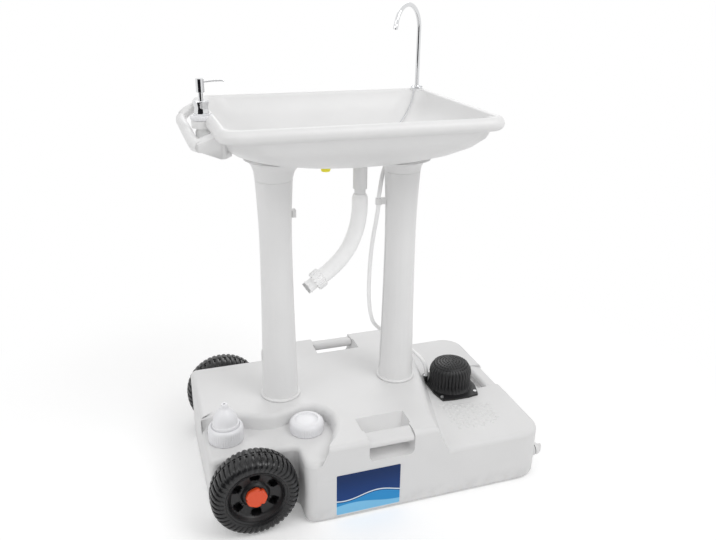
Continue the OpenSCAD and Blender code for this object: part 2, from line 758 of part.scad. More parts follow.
// Everything inside the bowl's outer skin, up to the crest of its rolled rim
module bowl_outside() {
    top = rim_h - 2 * rim_r;
    skin(concat(
        [for (i = [1:bowl_steps]) let (p = bowl(90 * i / bowl_steps))
            bowl_ring(p[0], under_z + (top - under_z) * p[1], bowl_in)],
        [for (a = [-60:30:90]) rim_ring(rim_r * (1 - cos(a)), rim_h - rim_r * (1 - sin(a)))]));
}

// The space inside the bowl, with the rounded inner edge of the rim
module bowl_inside() {
    edge = 6;
    inset = rim_r + 0.6 + edge;
    top = rim_h - edge;
    skin(concat(
        [for (i = [1:bowl_steps]) let (p = bowl(90 * i / bowl_steps))
            bowl_ring(p[0], floor_z + (top - floor_z) * p[1], inset)],
        [for (a = [30:30:90]) rim_ring(inset - edge * (1 - cos(a)), top + edge * sin(a))],
        [rim_ring(inset - edge, rim_h + 5)]));
}

// The trumpet under the basin that a leg plugs into: it widens by grow over a height h and
// leans towards the bowl's middle
module leg_flare(x, grow, h, lean) {
    r = leg_top_d / 2;
    skin(concat(
        [for (a = [0, 25, 45, 65, 90]) at_z(arc([x + lean * (1 - cos(a)), 4 * (1 - cos(a))],
            r + grow * (1 - cos(a)), 0, 348, 29), leg_top_z + h * sin(a))],
        [at_z(arc([x + lean, 4], r + grow - 14, 0, 348, 29), leg_top_z + h + 10)]));
}

// The rail: a bar along Y whose back end bends up into the rim's corner; its front end
// widens into a web under the rim
module towel_rail() {
    y1 = rail_y0 + rail_l;
    wall_x = rim_left_x + 14;
    swept([[rail_x + 8, rail_y0 - 14, rail_z], [rail_x + 1, rail_y0, rail_z],
        [rail_x, rail_y0 + 20, rail_z], [rail_x, y1, rail_z], [rail_x + 2, y1 + 18, rail_z + 2],
        [rail_x + 8, y1 + 35, rail_z + 6], [rail_x + 18, y1 + 48, rail_z + 11],
        [rail_x + 32, y1 + 56, rail_z + 16], [wall_x + 6, y1 + 60, rail_z + 20]], rail_d, 14);
    in = rail_r * 0.6;
    hull() {
        span([rail_x + 2 - in, rail_y0 - 4, rail_z - in], [rail_x + 2 + in, rail_y0 + 6, rail_z + in]);
        span([rail_x + 3, rail_y0 - 24, rail_z - in], [rail_x + 12, rail_y0 - 12, rail_z + in]);
        span([wall_x - 4, rail_y0 - 26, under_z + 60], [wall_x + 4, rail_y0 + 18, rim_h - rim_r - 2]);
        span([wall_x + 14, rail_y0 - 6, under_z + 60], [wall_x + 18, rail_y0 + 14, under_z + 68]);
    }
}

module faucet_pad() {
    translate([faucet_x, faucet_y, rim_h - faucet_pad_h])
        cylinder(d = faucet_pad_d, h = faucet_pad_h, $fn = 30);
}

// The moulded shell with its holes, down to the bottom of the drain boss
module basin_shell() {
    resize([0, 0, rim_h - boss_bottom_z]) difference() {
        union() {
            bowl_outside();
            leg_flare(left_leg_x, 36, 42, 16);
            leg_flare(right_leg_x, 26, 26, -4);
            towel_rail();
            translate([soap_x, soap_y, shelf_z - shelf_t])
                cylinder(d = soap_ring_d + 3, h = shelf_t, $fn = 30);
            faucet_pad();
            translate([drain_x, drain_y, 0]) {
                translate([0, 0, boss_bottom_z])
                    cylinder(d = boss_d, h = under_z - boss_bottom_z + 3, $fn = 30);
                skin([for (a = [0, 45, 90]) at_z(arc([0, 0],
                    boss_d / 2 - 1 + 10 * (1 - cos(a)), 0, 348, 29), under_z - 10 + 13 * sin(a))]);
            }
        }
        difference() {
            bowl_inside();
            faucet_pad();
        }
        translate([soap_x, soap_y, shelf_z]) cylinder(d = soap_ring_d + 1, h = 30, $fn = 30);
        for (x = [left_leg_x, right_leg_x]) translate([x, 0, leg_top_z - 1])
            cylinder(r = top_plug_r, h = leg_plug * 0.5 + 2, $fn = smooth);
        translate([soap_x, soap_y, shelf_z - 40])
            cylinder(d = soap_hole_d, h = 50, $fn = smooth);
        translate([faucet_x, faucet_y, rim_h - 60])
            cylinder(d = faucet_shank_d + 2 * fit, h = 80, $fn = smooth);
        translate([drain_x, drain_y, boss_bottom_z - 20])
            cylinder(d = boss_d - 2 * boss_wall, h = 100, $fn = smooth);
        translate([drain_x, drain_y, drain_seat_z])
            cylinder(d = drain_flange_d + 1, h = 30, $fn = smooth);
        translate([vent_x, vent_y, under_z - 20]) cylinder(d = vent_d, h = 24, $fn = smooth);
    }
}

module basin() { color(pale_grey) basin_shell(); }

vent_x = -67;
vent_y = 22;
vent_d = 16;

// Yellow blanking plug under the basin
module vent_plug() {
    face = under_z - 1;
    color(plug_yellow) translate([vent_x, vent_y, 0]) union() {
        translate([0, 0, face - 10]) cylinder(d = 23, h = 10, $fn = smooth);
        translate([0, 0, face - eps]) cylinder(d = vent_d - 2 * fit, h = 4.5, $fn = smooth);
    }
}

// ---------------------------------------------------------------- drain

// Strainer in the bowl's floor, with the stem that goes down into the boss
module drain_flange() {
    seat = drain_seat_z + gasket_t + eps;
    r = drain_flange_d / 2;
    stem_r = stem_d / 2;
    color(chrome) translate([drain_x, drain_y, 0]) difference() {
        rotate_extrude($fn = smooth) polygon([[0, seat], [stem_r - 2, seat],
            [stem_r - 2, seat - stem_l], [stem_r, seat - stem_l], [stem_r, seat], [r - 1, seat],
            [r, seat + 1], [r - 2, seat + 2.5], [stem_r + 4, seat + 1.6], [0, seat + 1.6]]);
        for (i = [0:5]) rotate([0, 0, 60 * i]) translate([6, 0, seat - 10])
            cylinder(d = 4.4, h = 20, $fn = 20);
    }
}

module drain_gasket() {
    color(rubber_black) translate([drain_x, drain_y, 0])
        pipe(drain_flange_d / 2 - 2, stem_d / 2 + fit, drain_seat_z, drain_seat_z + gasket_t);
}

// Spigot that screws to the strainer's stem inside the boss; the hose hangs from its lower end
module drain_tailpiece() {
    top = drain_seat_z + gasket_t - stem_l;
    color(pale_grey) translate([drain_x, drain_y, 0])
        pipe(stem_d / 2, stem_d / 2 - 2, neck_bottom_z, top);
}

module stopper() {
    low = drain_seat_z + gasket_t + 2 * seat_gap;
    color(rubber_black) translate([drain_x, drain_y, low]) rotate_extrude($fn = smooth)
        polygon([[0, 1.6], [12, 1.6], [20, 2.4], [21, 4], [19, 6], [6, 7.5], [5, 12], [0, 13]]);
}

module stopper_chain() { color(steel) swept(chain_route, chain_d, 8); }

module drain_hose() { color(clear_white) swept(hose_route, hose_d, 12); }

// The end of the hose: its direction, from the route's last two points
hose_end = hose_route[len(hose_route) - 1];
hose_way = hose_end - hose_route[len(hose_route) - 2];
hose_pitch = atan2(norm([hose_way[0], hose_way[1]]), hose_way[2]);
hose_yaw = atan2(hose_way[1], hose_way[0]);

module at_hose_end() {
    translate(hose_end) rotate([0, 0, hose_yaw]) rotate([0, hose_pitch, 0]) children();
}

// Ribbed nut on the hose's end; the hose ends against its inner shoulder
module hose_nut() {
    color(pale_grey) at_hose_end() difference() {
        union() {
            translate([0, 0, eps]) cylinder(d = hose_d + 5, h = 22, $fn = smooth);
            for (i = [0:15]) rotate([0, 0, 22.5 * i])
                translate([hose_d / 2 + 2, -1.5, 1]) cube([2.5, 3, 19]);
        }
        translate([0, 0, 4]) cylinder(d = hose_d - 4, h = 30, $fn = smooth);
        translate([0, 0, -1]) cylinder(d = hose_bore_d - 4, h = 30, $fn = smooth);
    }
}

module hose_spigot() {
    color(pale_grey) at_hose_end() difference() {
        union() {
            translate([0, 0, 4 + eps]) cylinder(d = hose_d - 4, h = 18, $fn = smooth);
            translate([0, 0, 21]) cylinder(d = hose_d - 8, h = 24, $fn = smooth);
            translate([0, 0, 36]) cylinder(d = hose_d - 5, h = 3, $fn = smooth);
        }
        cylinder(d = hose_bore_d - 9, h = 60, $fn = smooth);
    }
}

// ---------------------------------------------------------------- faucet and supply

module faucet_base() {
    color(chrome) translate([faucet_x, faucet_y, 0]) difference() {
        union() {
            translate([0, 0, rim_h]) cylinder(d = faucet_flange_d, h = 3, $fn = smooth);
            translate([0, 0, rim_h + 3 - eps]) rotate_extrude($fn = smooth) polygon([[0, 0],
                [faucet_flange_d / 2 - 1.5, 0], [spout_r + 3, faucet_flange_h - 4],
                [spout_r + 2.5, faucet_flange_h - 3], [0, faucet_flange_h - 3]]);
            translate([0, 0, rim_h - 56]) cylinder(d = faucet_shank_d, h = 57, $fn = smooth);
        }
        translate([0, 0, rim_h - 12]) cylinder(d = spout_d + 0.1, h = 40, $fn = smooth);
        translate([0, 0, rim_h - 60]) cylinder(d = spout_d - 3, h = 60, $fn = smooth);
    }
}

module faucet_gasket() {
    top = rim_h - faucet_pad_h;
    color(rubber_black) translate([faucet_x, faucet_y, 0])
        pipe(10, faucet_shank_d / 2 + 0.2, top - 2, top);
}

module faucet_nut() {
    color(steel) translate([faucet_x, faucet_y, rim_h - faucet_pad_h - 8.2]) difference() {
        cylinder(d = 20, h = 6, $fn = 6);
        translate([0, 0, -1]) cylinder(d = faucet_shank_d + 0.2, h = 8, $fn = smooth);
    }
}

module faucet_spout() {
    bore = spout_r - 1;
    color(chrome) translate([faucet_x, faucet_y, 0]) rotate([0, 0, spout_angle]) union() {
        difference() {
            translate([0, 0, rim_h - 11]) cylinder(r = spout_r, h = bend_z - rim_h + 11, $fn = smooth);
            translate([0, 0, rim_h - 12]) cylinder(r = bore, h = bend_z - rim_h + 20, $fn = smooth);
        }
        translate([spout_bend_r, 0, bend_z]) rotate([90, 0, 0])
            rotate_extrude(angle = 180, $fn = smooth) translate([spout_bend_r, 0]) difference() {
                circle(r = spout_r, $fn = smooth);
                circle(r = bore, $fn = smooth);
            }
    }
}

module aerator() {
    color(chrome) translate([faucet_x, faucet_y, 0]) rotate([0, 0, spout_angle])
        translate([2 * spout_bend_r, 0, 0]) pipe(spout_r + 1.6, spout_r - 1.5, bend_z - 10, bend_z);
}

module supply_tube() { color(clear_white) swept(tube_route, tube_d, 8); }

// Clips on the inner sides of the legs: an open one, and a ring that the supply tube
// runs through
clip_z = 610;
tube_clip_x = 43;
clip_share = (clip_z - deck_h - leg_bead_h) / (leg_top_z - deck_h - leg_bead_h);

module tube_clips() {
    r = leg_r(clip_share) + 0.2;
    ring_r = tube_d / 2 + 2.4;
    color(pale_grey) {
        translate([left_leg_x + r, 0, clip_z - 10]) difference() {
            span([0, -6, -8], [8, 6, 8]);
            translate([6, 0, -9]) cylinder(d = 6, h = 20, $fn = 24);
        }
        difference() {
            union() {
                translate([tube_clip_x, 0, clip_z - 7]) cylinder(r = ring_r, h = 14, $fn = smooth);
                span([tube_clip_x, -3, clip_z - 7], [right_leg_x - r, 3, clip_z + 7]);
            }
            translate([tube_clip_x, 0, clip_z - 8]) cylinder(d = tube_d + 2 * fit, h = 20, $fn = smooth);
        }
    }
}

// ---------------------------------------------------------------- soap pump

soap_base_z = shelf_z + 12;
soap_collar_z = soap_base_z + 24;
soap_head_z = soap_collar_z + soap_stroke + 2;

module soap_ring() {
    color(cap_white) translate([soap_x, soap_y, 0]) difference() {
        union() {
            translate([0, 0, shelf_z]) cylinder(d = soap_ring_d, h = 9, $fn = smooth);
            translate([0, 0, shelf_z + 8]) cylinder(d = soap_collar_d + 2, h = 4 - eps, $fn = smooth);
        }
        translate([0, 0, shelf_z - 1]) cylinder(d = soap_hole_d, h = 20, $fn = smooth);
    }
}

// Chrome collar: waisted, wider on top
module soap_collar() {
    color(chrome) translate([soap_x, soap_y, 0]) rotate_extrude($fn = smooth) polygon([
        [soap_stem_d / 2 + 0.1, soap_base_z], [soap_collar_d / 2 - 1, soap_base_z],
        [soap_collar_d / 2 - 1, soap_base_z + 2], [soap_collar_d / 2 - 2.5, soap_base_z + 10],
        [soap_collar_d / 2, soap_collar_z - 3], [soap_collar_d / 2 - 1, soap_collar_z],
        [soap_stem_d / 2 + 0.1, soap_collar_z]]);
}

module soap_head() {
    color(chrome) translate([soap_x, soap_y, 0]) union() {
        translate([0, 0, soap_base_z - 16])
            cylinder(d = soap_stem_d, h = soap_head_z - soap_base_z + 17, $fn = smooth);
        translate([0, 0, soap_head_z]) cylinder(d = soap_head_d, h = 25, $fn = smooth);
        translate([0, 0, soap_head_z + 19]) rotate([0, 90, 0]) cylinder(d = 5, h = 46, $fn = 32);
        translate([45, 0, soap_head_z + 16.5]) cylinder(d = 5, h = 2.6, $fn = 32);
    }
}

module soap_spring() {
    color(steel) translate([soap_x, soap_y, 0])
        coil(3.4, 0.8, soap_base_z - 45.2, soap_base_z - 16.8, 7, 10, 6);
}

module soap_bottle() {
    r = soap_bottle_d / 2;
    neck = soap_hole_d / 2 - 0.5;
    top = shelf_z - shelf_t - 0.3;
    wall = 1.6;
    color(clear_white) translate([soap_x, soap_y, 0]) rotate_extrude($fn = smooth) polygon([
        [0, top - soap_bottle_h], [r - 3, top - soap_bottle_h], [r, top - soap_bottle_h + 3],
        [r, top - 8], [r - 3, top - 0.2], [neck, top], [neck, soap_base_z - 0.3],
        [neck - wall, soap_base_z - 0.3], [neck - wall, top - 2], [r - 4, top - 3],
        [r - wall, top - 9], [r - wall, top - soap_bottle_h + 4], [r - 4, top - soap_bottle_h + wall],
        [0, top - soap_bottle_h + wall]]);
}

// Pump barrel and dip tube inside the bottle
module soap_dip_tube() {
    barrel = soap_stem_d / 2 + 1.5;
    foot_z = shelf_z - shelf_t - soap_bottle_h + 2;
    color(clear_white) translate([soap_x, soap_y, 0]) union() {
        pipe(soap_hole_d / 2 - 2.4, soap_stem_d / 2 + 0.1, soap_base_z - 6, soap_base_z - eps);
        pipe(barrel, soap_stem_d / 2 + 0.1, soap_base_z - 46, soap_base_z - 5);
        pipe(barrel, 1.5, soap_base_z - 49, soap_base_z - 45.8);
        pipe(3, 1.5, foot_z, soap_base_z - 48);
    }
}

// ---------------------------------------------------------------- foot pump

module pump_flange() {
    left = -pump_flange_a + 4;
    plate = [[left, -26], [-46, -pump_flange_b + 4], [-18, -pump_flange_b], [18, -pump_flange_b],
        [46, -pump_flange_b + 4], [pump_flange_a, -26], [pump_flange_a, 26], [46, pump_flange_b - 4],
        [18, pump_flange_b], [-18, pump_flange_b], [-45, pump_flange_b - 4], [left, 26]];
    color(rubber_black) translate([pump_x, pump_y, low_deck_h]) difference() {
        linear_extrude(height = pump_flange_t) polygon(plate);
        translate([0, 0, -1]) cylinder(d = pump_bore_d - 8, h = 20, $fn = smooth);
        for (sx = [-1, 1], sy = [-1, 1]) translate([sx * pump_screw_x, sy * pump_screw_y, -1])
            cylinder(d = 4.4, h = 20, $fn = 24);
    }
}

module pump_screws() {
    color(steel) for (sx = [-1, 1], sy = [-1, 1])
        translate([pump_x + sx * pump_screw_x, pump_y + sy * pump_screw_y, pump_base_z]) difference() {
            union() {
                cylinder(d = 8, h = 2.4, $fn = 24);
                translate([0, 0, -pump_flange_t - 8]) cylinder(d = 4, h = pump_flange_t + 9, $fn = 24);
            }
            translate([-3, -0.5, 1.4]) cube([6, 1, 2]);
            translate([-0.5, -3, 1.4]) cube([1, 6, 2]);
        }
}

// Pleated rubber wall of the pump
module pump_bellows() {
    r = pump_d / 2;
    pleat = [for (i = [0:2 * pleats - 1]) let (a = 180 * i / pleats, q = r - (i % 2 == 0 ? 0 : 3.5))
        [q * cos(a), q * sin(a)]];
    color(rubber_black) translate([pump_x, pump_y, 0]) difference() {
        translate([0, 0, pump_base_z]) linear_extrude(height = bellows_h) polygon(pleat);
        translate([0, 0, pump_base_z - 1]) cylinder(r = r - 8, h = bellows_h + 2, $fn = smooth);
    }
}

// Crown that the foot presses: a domed, ribbed cap with the plunger under it
module pump_crown() {
    r = pump_d / 2 - 1;
    color(rubber_black) translate([pump_x, pump_y, crown_z]) union() {
        rotate_extrude($fn = 2 * smooth) polygon(concat([[0, 0], [r, 0], [r, 3]],
            [for (a = [15:15:75]) [r * 0.72 + r * 0.28 * cos(a), 3 + (crown_h - 4) * sin(a)]],
            [[r * 0.72, crown_h - 1], [0, crown_h]]));
        translate([0, 0, -bellows_h - 4]) cylinder(d = 22, h = bellows_h + 5, $fn = smooth);
        translate([0, 0, -bellows_h - 12]) difference() {
            cylinder(d = pump_bore_d - 10, h = 14.5, $fn = smooth);
            translate([0, 0, 3.5]) pipe(pump_bore_d, cup_in_r, 0, 7.5);
        }
    }
}

cup_in_r = 18;

// Rubber cup in the plunger's groove, which seals it in the cylinder
module piston_cup() {
    color(rubber_black) translate([pump_x, pump_y, crown_z - bellows_h - 8.5])
        pipe(pump_bore_d / 2 - 4.1, cup_in_r + 0.1, 0.2, 7.3);
}

module pump_spring() {
    color(steel) translate([pump_x, pump_y, 0])
        coil(18, 2.4, pump_cylinder_z + 5.6, crown_z - bellows_h - 13.6, 6, 12, 6);
}

// Cylinder that hangs into the tank under the flange
module pump_cylinder() {
    color(pale_grey) translate([pump_x, pump_y, 0]) difference() {
        translate([0, 0, pump_cylinder_z])
            cylinder(d = pump_bore_d, h = low_deck_h - pump_cylinder_z, $fn = smooth);
        translate([0, 0, pump_cylinder_z + 4]) cylinder(d = pump_bore_d - 8, h = 200, $fn = smooth);
        translate([0, 0, pump_cylinder_z - 1]) cylinder(d = 10, h = 20, $fn = smooth);
    }
}

// Outlet on the flange that the supply tube pushes onto
module pump_outlet() {
    color(rubber_black) translate([outlet_x, outlet_y, pump_base_z]) {
        cylinder(d = 8, h = 4, $fn = smooth);
        translate([0, 0, 3]) cylinder(d = tube_d - 0.5, h = outlet_h - 3, $fn = smooth);
    }
}

module pump_inlet_valve() {
    color(rubber_black) translate([pump_x, pump_y, pump_cylinder_z + 4]) pipe(9, 0.8, 0.01, 1.4);
}

strainer_z = tank_wall + seat_gap;
strainer_h = 8;

module intake_tube() {
    color(clear_white) translate([pump_x, pump_y, 0])
        pipe(5, 3.5, strainer_z + strainer_h, pump_cylinder_z);
}

module intake_strainer() {
    color(pale_grey) translate([pump_x, pump_y, strainer_z]) difference() {
        cylinder(d = 24, h = strainer_h, $fn = smooth);
        translate([0, 0, 2]) cylinder(d = 7, h = 10, $fn = smooth);
        for (i = [0:7]) rotate([0, 0, 45 * i]) translate([8, -1, -1]) cube([5, 2, 7]);
    }
}

// ---------------------------------------------------------------- nodes

tank();
front_handle();
back_handle();
end_handle();
fill_cap();
fill_cap_seal();
spout_cap();
spout_cap_seal();
drain_plug();
drain_plug_seal();
axle();
axle_washers();
axle_nuts();
front_tyre();
front_wheel_rim();
front_hub_cap();
back_tyre();
back_wheel_rim();
back_hub_cap();
left_leg();
right_leg();
basin();
vent_plug();
drain_flange();
drain_gasket();
drain_tailpiece();
stopper();
stopper_chain();
drain_hose();
hose_nut();
hose_spigot();
faucet_base();
faucet_gasket();
faucet_nut();
faucet_spout();
aerator();
supply_tube();
tube_clips();
soap_ring();
soap_collar();
soap_head();
soap_spring();
soap_bottle();
soap_dip_tube();
pump_flange();
pump_screws();
pump_bellows();
pump_crown();
piston_cup();
pump_spring();
pump_cylinder();
pump_outlet();
pump_inlet_valve();
intake_tube();
intake_strainer();
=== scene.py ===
"""Finish and stage of the rolling camp wash stand.

Metres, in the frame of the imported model: +X runs to the foot pump, -Y is the front, +Z is up.
"""

import json
import math

import bmesh
import bpy
from bpy.props import FloatProperty, FloatVectorProperty, IntProperty, PointerProperty
from mathutils import Matrix, Vector


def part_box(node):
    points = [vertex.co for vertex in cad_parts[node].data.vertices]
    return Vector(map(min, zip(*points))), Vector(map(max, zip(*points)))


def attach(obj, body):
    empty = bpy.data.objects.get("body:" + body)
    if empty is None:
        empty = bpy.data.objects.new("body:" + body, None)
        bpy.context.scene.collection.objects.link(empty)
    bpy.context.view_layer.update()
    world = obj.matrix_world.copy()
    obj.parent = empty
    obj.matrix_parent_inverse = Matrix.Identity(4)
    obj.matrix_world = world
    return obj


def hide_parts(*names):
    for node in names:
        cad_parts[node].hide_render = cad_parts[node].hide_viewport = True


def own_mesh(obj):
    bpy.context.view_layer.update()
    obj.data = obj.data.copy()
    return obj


bl_info = {
    "name": "Camp wash stand",
    "version": (1, 0, 0),
    "blender": (4, 5, 0),
    "location": "3D View > Sidebar > Wash stand",
    "description": "Finishes, fine pieces and studio stage of a rolling camp wash stand",
    "category": "Object",
}

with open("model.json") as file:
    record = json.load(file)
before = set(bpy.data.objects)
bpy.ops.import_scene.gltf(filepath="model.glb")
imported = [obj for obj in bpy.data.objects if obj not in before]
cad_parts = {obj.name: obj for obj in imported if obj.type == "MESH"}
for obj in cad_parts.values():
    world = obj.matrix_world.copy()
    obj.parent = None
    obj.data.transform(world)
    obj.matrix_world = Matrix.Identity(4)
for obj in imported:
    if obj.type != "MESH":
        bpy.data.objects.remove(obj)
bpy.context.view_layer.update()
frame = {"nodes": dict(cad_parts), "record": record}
NODE_SLOTS = {row["node"]: row["material_slot"] for row in frame["record"]["subparts"]}
NODE_BODIES = {node: body for body, nodes in frame["record"]["behaviour"]["bodies"].items()
               for node in nodes}
MM = 0.001
# Vertices that are nearer to each other than this, in metres, become one
WELD = 0.000001

# Where the main pieces stand in the CAD source, and their main sizes, in millimetres
AXLE = (-283, 90)
WHEEL_Y = 200
WHEEL_R = 90
TYRE_IN_R = 59.4
TYRE_HALF_W = 30
OUTER_BULGE = 4.5
LOW_DECK_Z = 122
PUMP = (241, 2)
PUMP_BASE_Z = 127
CROWN_Z = 177
FRONT_Y = -235
FILL_CAP = (-150, -112)
SPOUT_CAP = (-319, -94)
CAP_Z = 150.5
CAP_IN_R, CAP_IN_Z = 32.5, 172.5
CAP_RIBS = 46
FAUCET = (210, 213)
FAUCET_BEND_R = 52
FAUCET_TURN = 218
SOAP = (-314, -10)
HOSE_D, TUBE_D, CHAIN_D = 34, 9, 3
PANEL_MIDDLE, PANEL_HALF = (-50, 61), (71, 50.5)
PAD_CORNERS = [(178, -58), (306, -103), (286, -180), (178, -178)]

# The same route points as in the CAD source, in millimetres
HOSE_ROUTE = [
    (3, 6, 628), (3, 6, 614), (3, 6, 600), (2.5, 6, 588), (1, 6, 576.5), (-1, 5.5, 565),
    (-4, 5, 553), (-7.5, 5, 541.5), (-12, 4.5, 530.5), (-17, 4, 519.5), (-23, 3.5, 509),
    (-30, 3, 499), (-38, 2.5, 489), (-47, 2, 480), (-57, 1.5, 471), (-69, 1, 461.5),
    (-82, 0, 453),
]
TUBE_ROUTE = [
    (210, 213, 754), (210, 213, 745), (207, 209, 736), (199, 200, 725), (187, 186, 716),
    (172, 168, 709), (148, 140, 701), (120, 108, 692), (102, 87, 686), (86, 66, 679),
    (72, 46, 670), (61, 29, 659), (53, 15, 646), (47, 5, 632), (43, 0, 618), (43, 0, 602),
    (42, 3, 584), (41, 8, 562), (39, 13, 538), (36, 18, 500), (34, 21, 460), (33, 22, 420),
    (33, 22, 385), (36, 23, 352), (40, 25, 332), (46, 28, 314), (55, 34, 300),
    (67, 43, 286), (81, 53, 271), (96, 62, 256), (112, 70, 240), (128, 75, 225),
    (144, 77, 214), (157, 72, 205), (166, 64, 198), (173, 56, 192), (178.5, 50, 187),
    (183, 44, 181), (186, 39, 174.5), (188.3, 34.5, 166.5), (189.5, 31.3, 158.5),
    (190, 30, 150), (190, 30, 143),
]
CHAIN_ROUTE = [
    (199, 200, 813), (197, 198, 808), (195, 196, 803), (193, 193, 796), (190, 190, 788),
    (185, 185, 781), (178, 178, 773), (164, 163, 760), (142, 141, 746), (118, 116, 734),
    (94, 92, 725), (72, 70, 717), (50, 49, 711), (33, 33, 708), (19, 20, 710), (7, 9, 713),
]


# ------------------------------------------------------------------ what a user would change


def colour(name, description, default):
    return FloatVectorProperty(
        name=name, description=description, default=default, size=3, min=0, max=1,
        subtype="COLOR",
    )


class WashStandFinish(bpy.types.PropertyGroup):
    tank: colour("Tank", "Colour of the tank and its handles", (0.735, 0.733, 0.733))
    basin: colour("Basin", "Colour of the basin and the legs", (0.785, 0.783, 0.782))
    cap: colour("Caps", "Colour of the two screw caps", (0.82, 0.82, 0.84))
    hose: colour("Hose", "Colour of the hose and the tube", (0.97, 0.97, 0.97))
    hub: colour("Hub caps", "Colour of the hub caps", (0.75, 0.08, 0.02))
    plug: colour("Plug", "Colour of the plug under the basin", (0.98, 0.90, 0.06))
    rubber: colour("Rubber", "Colour of tyres, pump and seals", (0.008, 0.008, 0.009))
    panel_top: colour("Panel top", "Upper colour of the front panel", (0.006, 0.032, 0.135))
    panel_wave: colour("Panel wave", "Lower colours of the front panel", (0.03, 0.28, 0.62))


class WashStandDetail(bpy.types.PropertyGroup):
    grain: FloatProperty(
        name="Grain", description="Size of the pebble grain on the tank", default=0.0014,
        min=0.0005, max=0.004, unit="LENGTH")
    stud_pitch: FloatProperty(
        name="Stud spacing", description="Distance between the studs of the foot pad",
        default=0.0125, min=0.006, max=0.02, unit="LENGTH")
    tread_lugs: IntProperty(
        name="Tread lugs", description="Lugs round each side of a tyre", default=44, min=30,
        max=52)
    pleats: IntProperty(
        name="Pleats", description="Pleats round the foot pump", default=36, min=24, max=44)


class WashStandStage(bpy.types.PropertyGroup):
    key: FloatProperty(
        name="Key lamp", description="Power of the large lamp", default=23, min=0, unit="POWER")
    fill: FloatProperty(
        name="Fill lamp", description="Power of the fill lamp", default=12, min=0, unit="POWER")
    ambient: FloatProperty(
        name="Ambient", description="Strength of the even light", default=0.65, min=0, max=2)
    lens: FloatProperty(
        name="Lens", description="Focal length of the camera", default=35.98, min=20, max=120,
        unit="CAMERA")


# ------------------------------------------------------------------ finishes


class Wire:
    """A value in a finish's node tree that takes part in Python arithmetic."""

    def __init__(self, finish, socket):
        self.finish, self.socket = finish, socket

    def maths(self, operation, *values):
        return self.finish.node(
            "ShaderNodeMath", {"operation": operation}, dict(enumerate(values)))

    def __add__(self, other):
        return self.maths("ADD", self, other)

    def __sub__(self, other):
        return self.maths("SUBTRACT", self, other)

    def __rsub__(self, other):
        return self.maths("SUBTRACT", other, self)

    def __mul__(self, other):
        return self.maths("MULTIPLY", self, other)

    def __truediv__(self, other):
        return self.maths("DIVIDE", self, other)

    def __abs__(self):
        return self.maths("ABSOLUTE", self)

    def sine(self):
        return self.maths("SINE", self)

    def most(self, other):
        return self.maths("MAXIMUM", self, other)

    def ease(self, low, high):
        """0 below low, 1 above high, smooth between; low may be the larger one."""
        return self.finish.node(
            "ShaderNodeMapRange", {"interpolation_type": "SMOOTHSTEP"},
            {"Value": self, "From Min": low, "From Max": high})


class Finish:
    """A material on a Principled shader. Constants go straight onto the shader's sockets."""

    def __init__(self, name, **constants):
        self.material = bpy.data.materials.new(name)
        self.material.use_nodes = True
        self.tree = self.material.node_tree
        self.tree.nodes.clear()
        self.shader = self.tree.nodes.new("ShaderNodeBsdfPrincipled")
        self.output = self.tree.nodes.new("ShaderNodeOutputMaterial")
        self.tree.links.new(self.shader.outputs[0], self.output.inputs["Surface"])
        for key, value in constants.items():
            self.feed(self.shader.inputs[key.replace("_", " ")], value)

    def node(self, kind, settings=None, inputs=None, output=0):
        made = self.tree.nodes.new(kind)
        for key, value in (settings or {}).items():
            setattr(made, key, value)
        for key, value in (inputs or {}).items():
            self.feed(made.inputs[key], value)
        return Wire(self, made.outputs[output])

    def feed(self, socket, value):
        if isinstance(value, Wire):
            self.tree.links.new(value.socket, socket)
        else:
            socket.default_value = (*value, 1) if _is_colour(socket, value) else value

    def set(self, name, value):
        self.feed(self.shader.inputs[name], value)

    def place(self, scale=(1, 1, 1)):
        """Object coordinates, stretched."""
        at = self.node("ShaderNodeTexCoord", output="Object")
        return self.node("ShaderNodeMapping", None, {0: at, "Scale": scale})

    def axis(self, at, which):
        return self.node("ShaderNodeSeparateXYZ", None, {0: at}, which)

    def noise(self, at, size, detail=2.0):
        """Noise from 0 to 1 whose features are about as large as size."""
        return self.node("ShaderNodeTexNoise", None,
                         {"Vector": at, "Scale": 1 / size, "Detail": detail})

    def blend(self, share, low, high):
        return self.node("ShaderNodeMix", {"data_type": "RGBA"}, {0: share, 6: low, 7: high}, 2)

    def bump(self, height, depth):
        self.set("Normal", self.node("ShaderNodeBump", None, {
            "Height": height, "Distance": depth, "Strength": 1.0}))


def _is_colour(socket, value):
    return socket.type == "RGBA" and len(value) == 3


def tint(base, share):
    """A colour made lighter or darker."""
    return tuple(min(1.0, c * share) for c in base)


def moulded_plastic(name, base, roughness, grain, depth, mottle=0.0):
    """Moulded plastic: pebble grain, slow waves from the mould, and faint darker patches towards
    the floor.
    """
    f = Finish(name)
    at = f.place()
    cloud = f.noise(at, 0.09, 3.0)
    speck = f.noise(at, grain)
    shade = f.blend(cloud.ease(0.3, 0.7), tint(base, 0.985), tint(base, 1.01))
    if mottle:
        # Darker in patches towards the bottom: over the lowest 5 cm, most at the floor
        low = f.axis(at, 2).ease(0.05, 0.0) * f.noise(at, 0.02, 4.0).ease(0.35, 0.7)
        shade = f.blend(low * mottle, shade, tint(base, 0.55))
    f.set("Base Color", shade)
    f.set("Roughness", (cloud - 0.5) * 0.08 + (speck - 0.5) * 0.1 + roughness)
    f.bump(speck + f.noise(at, 0.05, 1.0) * 0.6, depth)
    return f.material


def rubber(name, base, roughness, grain, depth):
    """Satin rubber with a little dust in its texture."""
    f = Finish(name, Specular_IOR_Level=0.5)
    at = f.place()
    cloud = f.noise(at, 0.03, 4.0)
    fine = f.noise(at, grain, 3.0)
    f.set("Base Color", f.blend(cloud.ease(0.45, 0.8) * 0.3, base, tint(base, 2.6)))
    f.set("Roughness", (cloud - 0.5) * 0.25 + roughness)
    f.bump(fine, depth)
    return f.material


